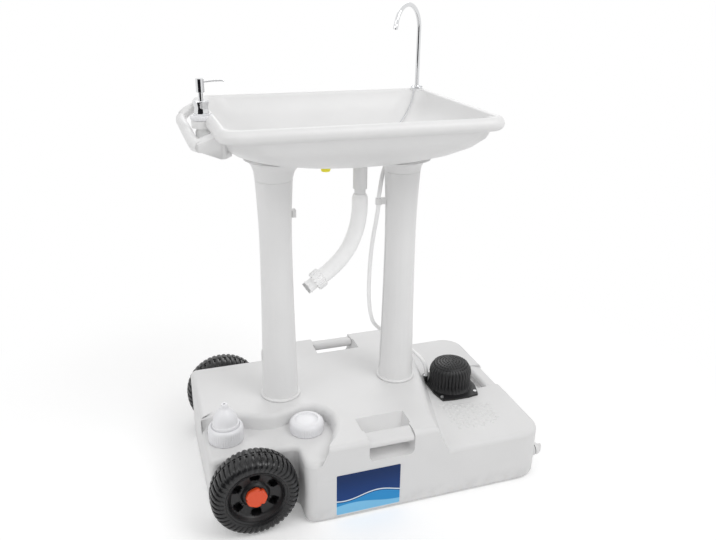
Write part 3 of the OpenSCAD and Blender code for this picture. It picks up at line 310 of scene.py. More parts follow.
def milky_plastic(name, base):
    """Soft white hose plastic with a faint haze."""
    f = Finish(name, IOR=1.42)
    at = f.place()
    cloud = f.noise(at, 0.03, 3.0)
    f.set("Base Color", f.blend(cloud, tint(base, 0.97), tint(base, 1.02)))
    f.set("Roughness", (cloud - 0.5) * 0.15 + 0.36)
    f.bump(f.noise(at, 0.004), 0.0001)
    return f.material


def polished_metal(name, base, roughness):
    """Chrome plating: very even, with the faintest ripple and finger haze."""
    f = Finish(name, Metallic=1.0)
    at = f.place()
    haze = f.noise(at, 0.012, 3.0)
    f.set("Base Color", f.blend(haze, tint(base, 0.97), tint(base, 1.02)))
    f.set("Roughness", haze.ease(0.5, 0.8) * 0.08 + roughness)
    f.bump(f.noise(at, 0.01, 1.0), 0.00003)
    return f.material


def drawn_steel(name, base):
    """Zinc-plated or drawn steel with fine lines round it."""
    f = Finish(name, Metallic=1.0)
    lines = f.noise(f.place(scale=(1, 1, 14)), 0.004, 3.0)
    cloud = f.noise(f.place(), 0.006, 3.0)
    f.set("Base Color", f.blend(cloud, tint(base, 0.86), tint(base, 1.06)))
    f.set("Roughness", (lines - 0.5) * 0.25 + 0.3)
    f.bump(lines, 0.00006)
    return f.material


def wave_panel(name, centre, half, top, low):
    """A plain printed panel: dark above, two waves of lighter blue below, a thin pale edge."""
    f = Finish(name, Specular_IOR_Level=0.2)
    at = f.place()
    x = (f.axis(at, 0) - centre[0]) / half[0]
    z = (f.axis(at, 2) - centre[1]) / half[1]
    paper = f.noise(at, 0.02, 3.0)
    shade = f.blend(z.ease(-0.4, 1.0), tint(top, 1.5), tint(top, 0.8))
    crest = (x * 3.1 + 0.7).sine() * 0.13 - 0.28
    shade = f.blend((crest - z).ease(-0.02, 0.02), shade, low)
    rule = 1 - abs(z - crest - 0.07).ease(0.018, 0.034)
    shade = f.blend(rule, shade, (0.75, 0.84, 0.9))
    second = (x * 2.2 + 2.6).sine() * 0.12 - 0.62
    shade = f.blend((second - z).ease(-0.02, 0.02), shade, (0.22, 0.56, 0.84))
    rim = abs(x).ease(0.982, 0.988).most(abs(z).ease(0.976, 0.984))
    shade = f.blend(rim, shade, (0.8, 0.82, 0.84))
    f.set("Base Color", shade)
    f.set("Roughness", (paper - 0.5) * 0.1 + 0.34)
    f.bump(paper, 0.00005)
    return f.material


def make_finishes(choice, detail):
    """All finishes, by the name of the record's material slot."""
    grain = detail.grain
    dark = tuple(choice.rubber)
    return {
        "tank_plastic": moulded_plastic(
            "pebbled tank plastic", tuple(choice.tank), 0.52, grain, 0.00016, mottle=0.25),
        "basin_plastic": moulded_plastic(
            "pale basin plastic", tuple(choice.basin), 0.42, grain, 0.0001),
        "cap_plastic": moulded_plastic(
            "white cap plastic", tuple(choice.cap), 0.33, 0.003, 0.00005),
        "clear_plastic": milky_plastic("milky hose plastic", tuple(choice.hose)),
        "yellow_plastic": moulded_plastic(
            "yellow plug plastic", tuple(choice.plug), 0.4, 0.002, 0.00005),
        "black_plastic": moulded_plastic("black satin plastic", dark, 0.4, 0.0012, 0.00008),
        "orange_plastic": moulded_plastic(
            "orange cap plastic", tuple(choice.hub), 0.34, 0.002, 0.00006),
        "tyre_rubber": rubber("tyre rubber", dark, 0.29, 0.0012, 0.00005),
        "black_rubber": rubber("black seal rubber", dark, 0.38, 0.0009, 0.00006),
        "chrome": polished_metal("chrome plating", (0.72, 0.725, 0.735), 0.06),
        "steel": drawn_steel("drawn steel", (0.62, 0.63, 0.65)),
        "screw": drawn_steel("bright zinc", (0.90, 0.90, 0.91)),
        "fitting": milky_plastic("milky fitting plastic", tuple(choice.hose)),
        "bottle": moulded_plastic("cloudy bottle plastic", (0.78, 0.785, 0.78), 0.3, 0.003,
                                  0.00004),
    }


FINISHES = {}


# ------------------------------------------------------------------ making pieces


def finish_piece(name, bm, body, slot, angle, material=None, outwards=True):
    """Makes a shaded object at the origin from a bmesh, riding on a body."""
    if outwards:
        bmesh.ops.recalc_face_normals(bm, faces=bm.faces)
    mesh = bpy.data.meshes.new(name)
    bm.to_mesh(mesh)
    bm.free()
    mesh.shade_smooth()
    mesh.set_sharp_from_angle(angle=math.radians(angle))
    mesh.materials.append(material or FINISHES[slot])
    piece = bpy.data.objects.new(name, mesh)
    bpy.context.scene.collection.objects.link(piece)
    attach(piece, body)
    return piece


def stand_for(node, name, bm, angle, slot=None):
    """Makes the piece that stands for a CAD node, with the node's slot if no other is given."""
    piece = finish_piece(name, bm, NODE_BODIES[node], slot or NODE_SLOTS[node], angle)
    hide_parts(node)
    return piece


def smoothed_node(node, angle=30, finish=None):
    """A merged, smooth-shaded copy of a CAD node that stands for it."""
    slot = NODE_SLOTS[node]
    bm = bmesh.new()
    bm.from_mesh(frame["nodes"][node].data)
    bmesh.ops.remove_doubles(bm, verts=bm.verts, dist=2 * WELD)
    bmesh.ops.dissolve_degenerate(bm, edges=bm.edges, dist=2 * WELD)
    # Flat faces are made whole, so that long thin triangles don't pull the shading about
    bmesh.ops.dissolve_limit(bm, angle_limit=math.radians(0.4), verts=bm.verts, edges=bm.edges)
    piece = finish_piece(node + "_finished", bm, NODE_BODIES[node], slot, angle,
                         FINISHES[finish or slot], outwards=False)
    if "custom_normal" in piece.data.attributes:
        piece.data.attributes.remove(piece.data.attributes["custom_normal"])
    even = piece.modifiers.new("even shading", "WEIGHTED_NORMAL")
    even.keep_sharp = True
    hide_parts(node)
    return piece


def squash_with(piece):
    """Gives a piece a mesh of its own."""
    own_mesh(piece)


def smooth_route(points, spans=4):
    """A smooth line through route points given in millimetres, as points in metres."""
    p = [Vector(q) * MM for q in points]
    p = [2 * p[0] - p[1], *p, 2 * p[-1] - p[-2]]
    line = []
    for i in range(1, len(p) - 2):
        a, b, c, d = p[i - 1:i + 3]
        for k in range(spans):
            t = k / spans
            line.append(0.5 * (2 * b + (c - a) * t + (2 * a - 5 * b + 4 * c - d) * t * t
                               + (3 * b - a - 3 * c + d) * t ** 3))
    return [*line, p[-2]]


def line_length(line):
    return sum((b - a).length for a, b in zip(line, line[1:]))


def frames_along(line):
    """A matrix at each point of a line: Z runs along it, and it doesn't twist."""
    ways = [(line[min(i + 1, len(line) - 1)] - line[max(i - 1, 0)]).normalized()
            for i in range(len(line))]
    turn = Vector((0, 0, 1)).rotation_difference(ways[0])
    placed = []
    for i, (point, way) in enumerate(zip(line, ways)):
        if i:
            turn = ways[i - 1].rotation_difference(way) @ turn
        placed.append(Matrix.Translation(point) @ turn.to_matrix().to_4x4())
    return placed


def shift(x, y, z):
    """A move given in millimetres."""
    return Matrix.Translation(Vector((x, y, z)) * MM)


def moved(made):
    """The vertices among what an operator made."""
    return [v for v in made if isinstance(v, bmesh.types.BMVert)]


def join(bm, part):
    """Adds one bmesh to another, and frees it."""
    mesh = bpy.data.meshes.new("part")
    part.to_mesh(mesh)
    part.free()
    bm.from_mesh(mesh)
    bpy.data.meshes.remove(mesh)


def ring(bm, matrix, radius, sides):
    """The vertices and edges of a circle across the matrix's Z."""
    made = bmesh.ops.create_circle(
        bm, cap_ends=False, segments=sides, radius=radius, matrix=matrix)["verts"]
    return made, list({e for v in made for e in v.link_edges})


def tube(bm, stations, sides):
    """Bridges rings that are given as (matrix, radius), and closes both ends."""
    rings = [ring(bm, matrix, radius, sides) for matrix, radius in stations]
    for (_, low), (_, high) in zip(rings, rings[1:]):
        bmesh.ops.bridge_loops(bm, edges=low + high)
    for verts, _ in (rings[0], rings[-1]):
        bmesh.ops.contextual_create(bm, geom=verts)


def turned(bm, profile, steps, matrix):
    """Spins a closed outline of (radius, height) in millimetres about Z, then places it."""
    verts = [bm.verts.new((r * MM, 0, z * MM)) for r, z in profile]
    edges = [bm.edges.new(pair) for pair in zip(verts, verts[1:] + verts[:1])]
    bmesh.ops.spin(
        bm, geom=verts + edges, cent=(0, 0, 0), axis=(0, 0, 1), angle=math.tau,
        steps=steps, use_merge=True)
    bmesh.ops.remove_doubles(bm, verts=bm.verts, dist=WELD)
    bmesh.ops.transform(bm, matrix=matrix, verts=bm.verts)


def wire_ring(bm, radius, height, wire, steps, matrix):
    """A round wire, bent into a ring about Z."""
    circle = [(radius + wire * math.cos(a), height + wire * math.sin(a))
              for a in (math.tau * k / 8 for k in range(8))]
    turned(bm, circle, steps, matrix)


def ribbed(bm, rings, place, sides, shape, closed=True):
    """Bridges rings of (radius, height, depth) in millimetres about Z.

    shape gives, for an angle, how much of a ring's depth its radius loses there.
    The ends are closed with discs, or else the last ring joins the first.
    """
    made = []
    for radius, height, depth in rings:
        verts, _ = ring(bm, Matrix.Translation((0, 0, height * MM)), radius * MM, sides)
        for v in verts:
            share = 1 - depth / radius * shape(math.atan2(v.co.y, v.co.x))
            v.co.x, v.co.y = v.co.x * share, v.co.y * share
        made.append(verts)
    for low, high in zip(made, made[1:] if closed else made[1:] + made[:1]):
        for i in range(sides):
            bm.faces.new((low[i - 1], low[i], high[i], high[i - 1]))
    if closed:
        for verts in (made[0], made[-1]):
            bmesh.ops.contextual_create(bm, geom=verts)
    bmesh.ops.transform(bm, matrix=place, verts=bm.verts)


def scallop(count):
    """A wave round a ring, for ribbed: 0 on a rib and 1 in a groove."""
    return lambda a: 0.5 - 0.5 * math.cos(count * a)


def place_wheel(side):
    """From a wheel that lies on Z, its outside up, to its place on the axle."""
    return (shift(AXLE[0], side * WHEEL_Y, AXLE[1])
            @ Matrix.Rotation(math.radians(-90 * side), 4, "X"))


def make_camera(stage):
    """The photograph's camera, found by fitting the frame to it."""
    place = (-0.4641, -1.3697, 1.0475)
    yaw, pitch, roll = (math.radians(a) for a in (18.68, -22.20, 0.77))
    ahead = Vector((math.sin(yaw) * math.cos(pitch), math.cos(yaw) * math.cos(pitch),
                    math.sin(pitch)))
    right = Vector((math.cos(yaw), -math.sin(yaw), 0))
    up = right.cross(ahead)
    right, up = (right * math.cos(roll) + up * math.sin(roll),
                 up * math.cos(roll) - right * math.sin(roll))
    lens = bpy.data.cameras.new("stand camera")
    lens.lens, lens.sensor_width = stage.lens, 36
    camera = bpy.data.objects.new("stand camera", lens)
    turn = Matrix((right, up, -ahead)).transposed().to_4x4()
    camera.matrix_world = Matrix.Translation(place) @ turn
    bpy.context.scene.collection.objects.link(camera)
    bpy.context.scene.camera = camera


# ------------------------------------------------------------------ operators


class WASHSTAND_OT_camera(bpy.types.Operator):
    """Place the camera"""

    bl_idname = "washstand.camera"
    bl_label = "Camera"

    def execute(self, context):
        make_camera(context.scene.wash_stage)
        return {"FINISHED"}


class WASHSTAND_OT_finishes(bpy.types.Operator):
    """Mix the finishes that the pieces share"""

    bl_idname = "washstand.finishes"
    bl_label = "Finishes"

    def execute(self, context):
        scene = context.scene
        FINISHES.update(make_finishes(scene.wash_finish, scene.wash_detail))
        for node, piece in frame["nodes"].items():
            piece.data.materials.clear()
            piece.data.materials.append(FINISHES[NODE_SLOTS[node]])
        return {"FINISHED"}


class WASHSTAND_OT_drain_hose(bpy.types.Operator):
    """Hang the drain hose under the basin, with its nut and spigot"""

    bl_idname = "washstand.drain_hose"
    bl_label = "Drain hose"

    def execute(self, context):
        line = smooth_route(HOSE_ROUTE)
        total = line_length(line)
        stations, run = [], 0.0
        for i, matrix in enumerate(frames_along(line)):
            run += (line[i] - line[i - 1]).length if i else 0.0
            # The hose stretches over the tailpiece: a soft shoulder in its top 12 mm
            shoulder = min(1.0, (run + MM) / (12 * MM))
            radius = HOSE_D / 2 * MM * (0.78 + 0.22 * math.sin(shoulder * math.pi / 2))
            stations.append((matrix, radius))
        bm = bmesh.new()
        tube(bm, stations, 32)
        hose = stand_for("drain_hose", "drain_hose_soft", bm, 50)
        nut = smoothed_node("hose_nut", 50, "fitting")
        spigot = smoothed_node("hose_spigot", 50, "fitting")
        return {"FINISHED"}


class WASHSTAND_OT_supply_tube(bpy.types.Operator):
    """Run the supply tube from the foot pump up the leg to the faucet"""

    bl_idname = "washstand.supply_tube"
    bl_label = "Supply tube"

    def execute(self, context):
        line = smooth_route(TUBE_ROUTE, 3)
        bm = bmesh.new()
        tube(bm, [(matrix, TUBE_D / 2 * MM) for matrix in frames_along(line)], 16)
        piece = stand_for("supply_tube", "supply_tube_soft", bm, 50)
        line_length(line)
        return {"FINISHED"}


class WASHSTAND_OT_stopper_chain(bpy.types.Operator):
    """Lay the bead chain from the faucet down to the stopper"""

    bl_idname = "washstand.stopper_chain"
    bl_label = "Stopper chain"

    def execute(self, context):
        line = smooth_route(CHAIN_ROUTE, 12)
        bead_r, wire_r, pitch = CHAIN_D / 2 * MM, 0.0006, 0.0036
        bm = bmesh.new()
        run, due = 0.0, 0.0
        places = frames_along(line)
        for i, matrix in enumerate(places):
            run += (line[i] - line[i - 1]).length if i else 0.0
            if run >= due or i == len(places) - 1:
                bmesh.ops.create_icosphere(bm, subdivisions=1, radius=bead_r, matrix=matrix)
                due += pitch
        tube(bm, [(matrix, wire_r) for matrix in places[::4] + places[-1:]], 6)
        piece = stand_for("stopper_chain", "stopper_bead_chain", bm, 60)
        line_length(line)
        return {"FINISHED"}


class WASHSTAND_OT_tank(bpy.types.Operator):
    """Finish the tank and its handles, and add the front panel and the foot pad"""

    bl_idname = "washstand.tank"
    bl_label = "Tank"

    def execute(self, context):
        for node in ("tank", "front_handle", "back_handle", "end_handle"):
            smoothed_node(node, 33)
        self.front_panel(context.scene.wash_finish)
        self.foot_pad(context.scene.wash_detail.stud_pitch)
        return {"FINISHED"}

    def front_panel(self, choice):
        """A thin printed panel with rounded corners, in its seat on the front."""
        centre, half = (Vector(pair) * MM for pair in (PANEL_MIDDLE, PANEL_HALF))
        back_y, thick, corner = (FRONT_Y + 0.82) * MM, 0.0003, 0.007
        bm = bmesh.new()
        bmesh.ops.create_grid(bm, x_segments=1, y_segments=1, size=1)
        bmesh.ops.scale(bm, vec=(half[0], half[1], 1), verts=bm.verts)
        bmesh.ops.bevel(bm, geom=list(bm.verts), offset=corner, segments=6, profile=0.5,
                        affect="VERTICES", material=-1, clamp_overlap=True)
        made = bmesh.ops.extrude_face_region(bm, geom=list(bm.faces))["geom"]
        bmesh.ops.translate(bm, vec=(0, 0, thick), verts=moved(made))
        place = (Matrix.Translation((centre[0], back_y, centre[1]))
                 @ Matrix.Rotation(math.radians(90), 4, "X"))
        bmesh.ops.transform(bm, matrix=place, verts=bm.verts)
        sheen = wave_panel("front panel print", centre, half, tuple(choice.panel_top),
                           tuple(choice.panel_wave))
        finish_piece("front_panel", bm, "stand", None, 30, sheen)

    def foot_pad(self, pitch):
        """Low round studs in slanting rows on the lower deck, inside a four-sided field."""
        corners = [Vector(c) * MM for c in PAD_CORNERS]
        middle = sum(corners, Vector((0, 0))) / 4
        slant = Matrix.Rotation(math.radians(38), 2)
        span, radius, flatness, margin = range(-9, 10), 0.005, 0.32, 0.0003
        bm = bmesh.new()
        for i in span:
            for j in span:
                at = middle + slant @ Vector((i * pitch, j * pitch))
                inside = all((b - a).cross(at - a) < -margin
                             for a, b in zip(corners, corners[1:] + corners[:1]))
                if inside:
                    shape = (Matrix.Translation((at[0], at[1], LOW_DECK_Z * MM))
                             @ Matrix.Diagonal((1, 1, flatness, 1)))
                    bmesh.ops.create_uvsphere(
                        bm, u_segments=16, v_segments=10, radius=radius, matrix=shape)
        finish_piece("foot_pad_studs", bm, "stand", "tank_plastic", 80)


class WASHSTAND_OT_caps(bpy.types.Operator):
    """Finish the screw caps, the drain plug and their seals"""

    bl_idname = "washstand.caps"
    bl_label = "Caps"

    def execute(self, context):
        self.cap("fill_cap", FILL_CAP, [
            (36.9, 162, 1.1), (36.9, 165, 0.6), (36.4, 168.6, 0.2), (34.9, 172, 0),
            (32.2, 174.6, 0), (28.8, 176, 0), (25.6, 176.4, 0), (24.6, 176, 0),
            (23.8, 174, 0), (23, 173.4, 0), (12, 173.3, 0)], None)
        self.cap("spout_cap", SPOUT_CAP, [
            (36.9, 172, 1.1), (36.8, 176, 0.6), (36.2, 179.6, 0.2), (34.6, 182.4, 0),
            (32, 184.2, 0), (30.4, 184.6, 0), (29.8, 184.2, 0), (29.5, 182, 0), (28.4, 182, 0),
            (28.3, 185.4, 0), (28.1, 188.4, 0), (27.6, 189.2, 0), (26.2, 189.6, 0),
            (25.6, 190.6, 0), (25.2, 196, 0), (24.6, 202, 0), (23, 207, 0), (20.4, 212, 0),
            (17.2, 216.6, 0), (13.6, 220.6, 0), (9.6, 223.4, 0), (7.6, 225.6, 0),
            (7.2, 229, 0), (6.8, 233.4, 0), (6, 234.5, 0), (2.6, 234.5, 0)],
            [(2.6, 219), (9, 212), (16, 202), (19, 190), (19, CAP_IN_Z)])
        smoothed_node("drain_plug")
        smoothed_node("drain_plug_seal")
        return {"FINISHED"}

    def cap(self, node, at, outside, channel):
        """A screw cap with a ribbed skirt, hollow over its neck; a channel opens its top."""
        start = [(CAP_IN_R, CAP_Z + 0.3, 0), (36.2, CAP_Z + 0.3, 0.6), (36.9, CAP_Z + 1.2, 1.1)]
        inside = [(r, z, 0) for r, z in channel or []]
        end = [(CAP_IN_R - 1, CAP_IN_Z, 0), (CAP_IN_R, CAP_IN_Z - 1, 0)]
        rings = (start + outside + inside + end if channel
                 else [(CAP_IN_R, CAP_IN_Z, 0), *start, *outside])
        bm = bmesh.new()
        ribbed(bm, rings, Matrix.Identity(4), CAP_RIBS * 6, scallop(CAP_RIBS),
               closed=not channel)
        bmesh.ops.translate(bm, vec=Vector((*at, 0)) * MM, verts=bm.verts)
        stand_for(node, node + "_moulded", bm, 40)


class WASHSTAND_OT_wheels(bpy.types.Operator):
    """Make the treaded tyres, and finish the wheels, hub caps and axle"""

    bl_idname = "washstand.wheels"
    bl_label = "Wheels"

    def execute(self, context):
        lugs = context.scene.wash_detail.tread_lugs
        for name, side in (("front", -1), ("back", 1)):
            self.tyre(name, side, lugs)
            smoothed_node(name + "_wheel_rim", 25)
            self.hub_cap(name, side)
        for node in ("axle", "axle_washers", "axle_nuts"):
            smoothed_node(node)
        return {"FINISHED"}

    def hub_cap(self, name, side):
        """A softly eight-sided cap with three notches in its rim."""
        notches = [math.radians(a) for a in (62, 182, 302)]

        def shape(angle):
            flat = 0.9 * scallop(8)(angle)
            near = min(abs((angle - a + math.pi) % math.tau - math.pi) for a in notches)
            return flat + 2.6 * min(1.0, max(0.0, (0.15 - near) / 0.05))

        bm = bmesh.new()
        ribbed(bm, [(21.8, 20.3, 1), (22, 21.4, 1), (22, 26, 1), (21.7, 26.9, 1),
                    (20.9, 27.8, 1), (20, 28, 1), (19, 27.7, 1), (18.2, 27.1, 0.9),
                    (16.8, 27, 0.4), (9, 27, 0)],
               place_wheel(side), 144, shape)
        stand_for(name + "_hub_cap", name + "_hub_cap_moulded", bm, 42)

    def carcass(self, share, face):
        """Radius and height on the tyre for a share from crown (0) to bead (1).

        The outer face, 1, bulges further than the inner one, -1, and laps over the rim.
        """
        knots = [(86, 0), (86, 9), (85, 17), (82.2, 23.5), (78, 27.6), (72.5, 29.2),
                 (67, 28.4), (63, 26.6), (TYRE_IN_R, 24)]
        if face > 0:
            knots = [(86, 0), (86.2, 10), (85.4, 19.5), (82.6, 26.8), (78, 31.4), (72, 33.2),
                     (66, 32.2), (60.5, 29.2), (55.5, 25)]
        at = share * (len(knots) - 1)
        i = min(int(at), len(knots) - 2)
        (r0, h0), (r1, h1) = knots[i], knots[i + 1]
        t = at - i
        return r0 + (r1 - r0) * t, h0 + (h1 - h0) * t

    def tyre(self, name, side, lugs):
        """A carcass with two rows of lugs, half a lug apart, and its beads."""
        steps = 16
        inner, outer = ([self.carcass(i / steps, face) for i in range(steps + 1)]
                        for face in (-1, 1))
        profile = [(r, -h) for r, h in reversed(inner)] + outer[1:]
        profile += [(outer[-1][0], 22), (TYRE_IN_R, 20)]
        bm = bmesh.new()
        turned(bm, profile, 96, Matrix.Identity(4))
        for face in (-1, 1):
            self.lug_row(bm, face, lugs)
        self.beads(bm)
        bmesh.ops.transform(bm, matrix=place_wheel(side), verts=bm.verts)
        stand_for(name + "_tyre", name + "_tyre_treaded", bm, 32)

    def lug_row(self, bm, face, lugs):
        """Lugs that run from the crown over the shoulder and thin out on the sidewall."""
        lug = bmesh.new()
        bmesh.ops.create_grid(lug, x_segments=10, y_segments=4, size=0.5)
        made = bmesh.ops.extrude_face_region(lug, geom=list(lug.faces))["geom"]
        raised = set(moved(made))
        start, stretch = 0.03, 0.72
        for v in lug.verts:
            share = v.co.x + 0.5
            along = start + share * stretch
            r, h = self.carcass(along, face)
            r2, h2 = self.carcass(along + 0.02, face)
            out = Vector((h2 - h, r - r2)).normalized()
            # Crowned across, and low on the sidewall
            crown = 1 - 0.28 * (2 * v.co.y) ** 4
            rise = (4.0 - 2.9 * share ** 0.8) * crown if v in raised else -1.5
            r, h = r + out[0] * rise, h + out[1] * rise
            half = 4.7 - 1.7 * share - (0.4 if v in raised else 0)
            reach = TYRE_HALF_W + (OUTER_BULGE if face > 0 else -0.1)
            sweep = 5.0 * share * share
            across = (v.co.y * 2 * half + sweep) * MM
            v.co = (min(r, WHEEL_R - 0.1) * MM, across, face * min(h, reach) * MM)
        if face < 0:
            bmesh.ops.reverse_faces(lug, faces=lug.faces)
        offset = math.tau * (0.5 if face > 0 else 0.0) / lugs
        bmesh.ops.rotate(lug, verts=lug.verts, cent=(0, 0, 0),
                         matrix=Matrix.Rotation(offset, 3, "Z"))
        bmesh.ops.spin(lug, geom=list(lug.verts) + list(lug.edges) + list(lug.faces),
                       cent=(0, 0, 0), axis=(0, 0, 1), angle=math.tau * (lugs - 1) / lugs,
                       steps=lugs - 1, use_duplicate=True)
        join(bm, lug)

    def beads(self, bm):
        """Thin raised rings on both sidewalls, and a rib along the crown."""
        for radius, height, wire in (
                (66.5, -28.6, 0.9), (70.5, -29.0, 0.7), (61.5, 30.1, 0.9), (57.5, 27, 0.8)):
            part = bmesh.new()
            wire_ring(part, radius, height, wire, 96, Matrix.Identity(4))
            join(bm, part)
        part = bmesh.new()
        turned(part, [(85, -2.4), (88.4, -1.9), (88.4, 1.9), (85, 2.4)], 96, Matrix.Identity(4))
        join(bm, part)


class WASHSTAND_OT_basin(bpy.types.Operator):
    """Finish the basin, its drain and the plug under it"""

    bl_idname = "washstand.basin"
    bl_label = "Basin"

    def execute(self, context):
        smoothed_node("basin", 38)
        smoothed_node("vent_plug")
        self.plug_grip()
        for node in ("drain_flange", "drain_gasket", "drain_tailpiece", "stopper"):
            smoothed_node(node)
        return {"FINISHED"}

    def plug_grip(self):
        """The round grip under the plug's flange."""
        low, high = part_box("vent_plug")
        x, y = (low[0] + high[0]) / 2, (low[1] + high[1]) / 2
        bm = bmesh.new()
        ribbed(bm, [(8.6, 0, 0.5), (9.6, 0.9, 0.8), (9.8, 4, 0.8), (9.9, 6.4, 0.8)],
               Matrix.Translation((x, y, low[2] - 6 * MM)), 96, scallop(16))
        finish_piece("vent_plug_grip", bm, "stand", "yellow_plastic", 40)


class WASHSTAND_OT_legs(bpy.types.Operator):
    """Finish the legs and the tube clips"""

    bl_idname = "washstand.legs"
    bl_label = "Legs"

    def execute(self, context):
        for node in ("left_leg", "right_leg", "tube_clips"):
            smoothed_node(node)
        return {"FINISHED"}


class WASHSTAND_OT_faucet(bpy.types.Operator):
    """Finish the faucet and add the ring that holds the chain"""

    bl_idname = "washstand.faucet"
    bl_label = "Faucet"

    def execute(self, context):
        for node in ("faucet_base", "faucet_gasket", "faucet_nut"):
            smoothed_node(node)
        self.gooseneck()
        low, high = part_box("faucet_base")
        collar_r, wire, ring_z = 12.5, 0.9, 814.5 * MM
        centre = Vector(((low[0] + high[0]) / 2, (low[1] + high[1]) / 2, ring_z))
        bm = bmesh.new()
        wire_ring(bm, collar_r, 0, wire, 48, Matrix.Translation(centre))
        finish_piece("chain_ring", bm, "stand", "steel", 60)
        return {"FINISHED"}

    def gooseneck(self):
        """The bent rod, whose outlet slants a little outwards, and the sleeve at its end."""
        low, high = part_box("faucet_spout")
        bend, radius = FAUCET_BEND_R * MM, 4.8 * MM
        foot, bend_z = low[2], high[2] - bend - radius
        stop = math.radians(164)
        path = [(0, foot + (bend_z - foot) * i / 4) for i in range(4)]
        path += [(bend * (1 - math.cos(a)), bend_z + bend * math.sin(a))
                 for a in (stop * i / 40 for i in range(41))]
        end, way = path[-1], (math.sin(stop), math.cos(stop))
        lip = [(end[0] + way[0] * d * MM, end[1] + way[1] * d * MM) for d in (2.5, 12)]
        turn = Matrix.Rotation(math.radians(FAUCET_TURN), 4, "Z")
        place = shift(*FAUCET, 0) @ turn
        line = [place @ Vector((x, 0, z)) for x, z in path + lip[:1]]
        bm = bmesh.new()
        tube(bm, [(matrix, radius) for matrix in frames_along(line)], 40)
        stand_for("faucet_spout", "gooseneck", bm, 60)
        start, stop_at = (place @ Vector((x, 0, z)) for x, z in lip)
        bm = bmesh.new()
        sleeve = [(4.4, 0), (5.1, 0), (5.4, 0.5), (5.4, 9), (5.2, 9.5), (4.1, 9.5), (3.9, 9.2),
                  (3.9, 3), (0, 3), (0, 0)]
        turned(bm, sleeve, 48, frames_along([start, stop_at])[0])
        stand_for("aerator", "outlet_sleeve", bm, 40)


class WASHSTAND_OT_soap_pump(bpy.types.Operator):
    """Finish the soap pump with its bottle and spring"""

    bl_idname = "washstand.soap_pump"
    bl_label = "Soap pump"

    def execute(self, context):
        for node in ("soap_ring", "soap_collar", "soap_dip_tube"):
            smoothed_node(node)
        smoothed_node("soap_bottle", finish="bottle")
        self.nut()
        self.head()
        spring = smoothed_node("soap_spring", 60)
        squash_with(spring)
        return {"FINISHED"}

    def head(self):
        """The push head on its stem, with a thin nozzle that rises a little."""
        low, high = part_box("soap_head")
        foot, top = low[2] / MM, high[2] / MM
        bm = bmesh.new()
        turned(bm, [(0, foot), (4.5, foot), (4.5, top - 25), (7.2, top - 25),
                    (7.8, top - 24.4), (7.8, top - 0.9), (7, top - 0.1), (0, top - 0.1)],
               64, shift(*SOAP, 0))
        line = smooth_route([(SOAP[0] + x, SOAP[1], top - drop) for x, drop in (
            (2, 6.7), (9, 6.5), (14, 6), (20, 5.4), (27, 5.1), (35, 5.1), (40.5, 5.1),
            (42.6, 5.5), (43.4, 6.6))], 3)
        nozzle, nozzle_r = bmesh.new(), 0.0017
        tube(nozzle, [(matrix, nozzle_r) for matrix in frames_along(line)], 20)
        join(bm, nozzle)
        stand_for("soap_head", "soap_push_head", bm, 42)

    def nut(self):
        """The ribbed white nut round the ring that holds the pump on its shelf."""
        low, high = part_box("soap_ring")
        bm = bmesh.new()
        ribs = 32
        top = (high[2] - low[2]) / MM
        ribbed(bm, [(19, 1, 0), (21.4, 1, 0.3), (22.2, 2, 0.9), (22.2, top - 4.4, 0.9),
                    (21.2, top - 3.4, 0.3), (19, top - 3.1, 0)],
               Matrix.Translation((SOAP[0] * MM, SOAP[1] * MM, low[2])), ribs * 6,
               scallop(ribs))
        finish_piece("soap_nut", bm, "stand", "cap_plastic", 40)


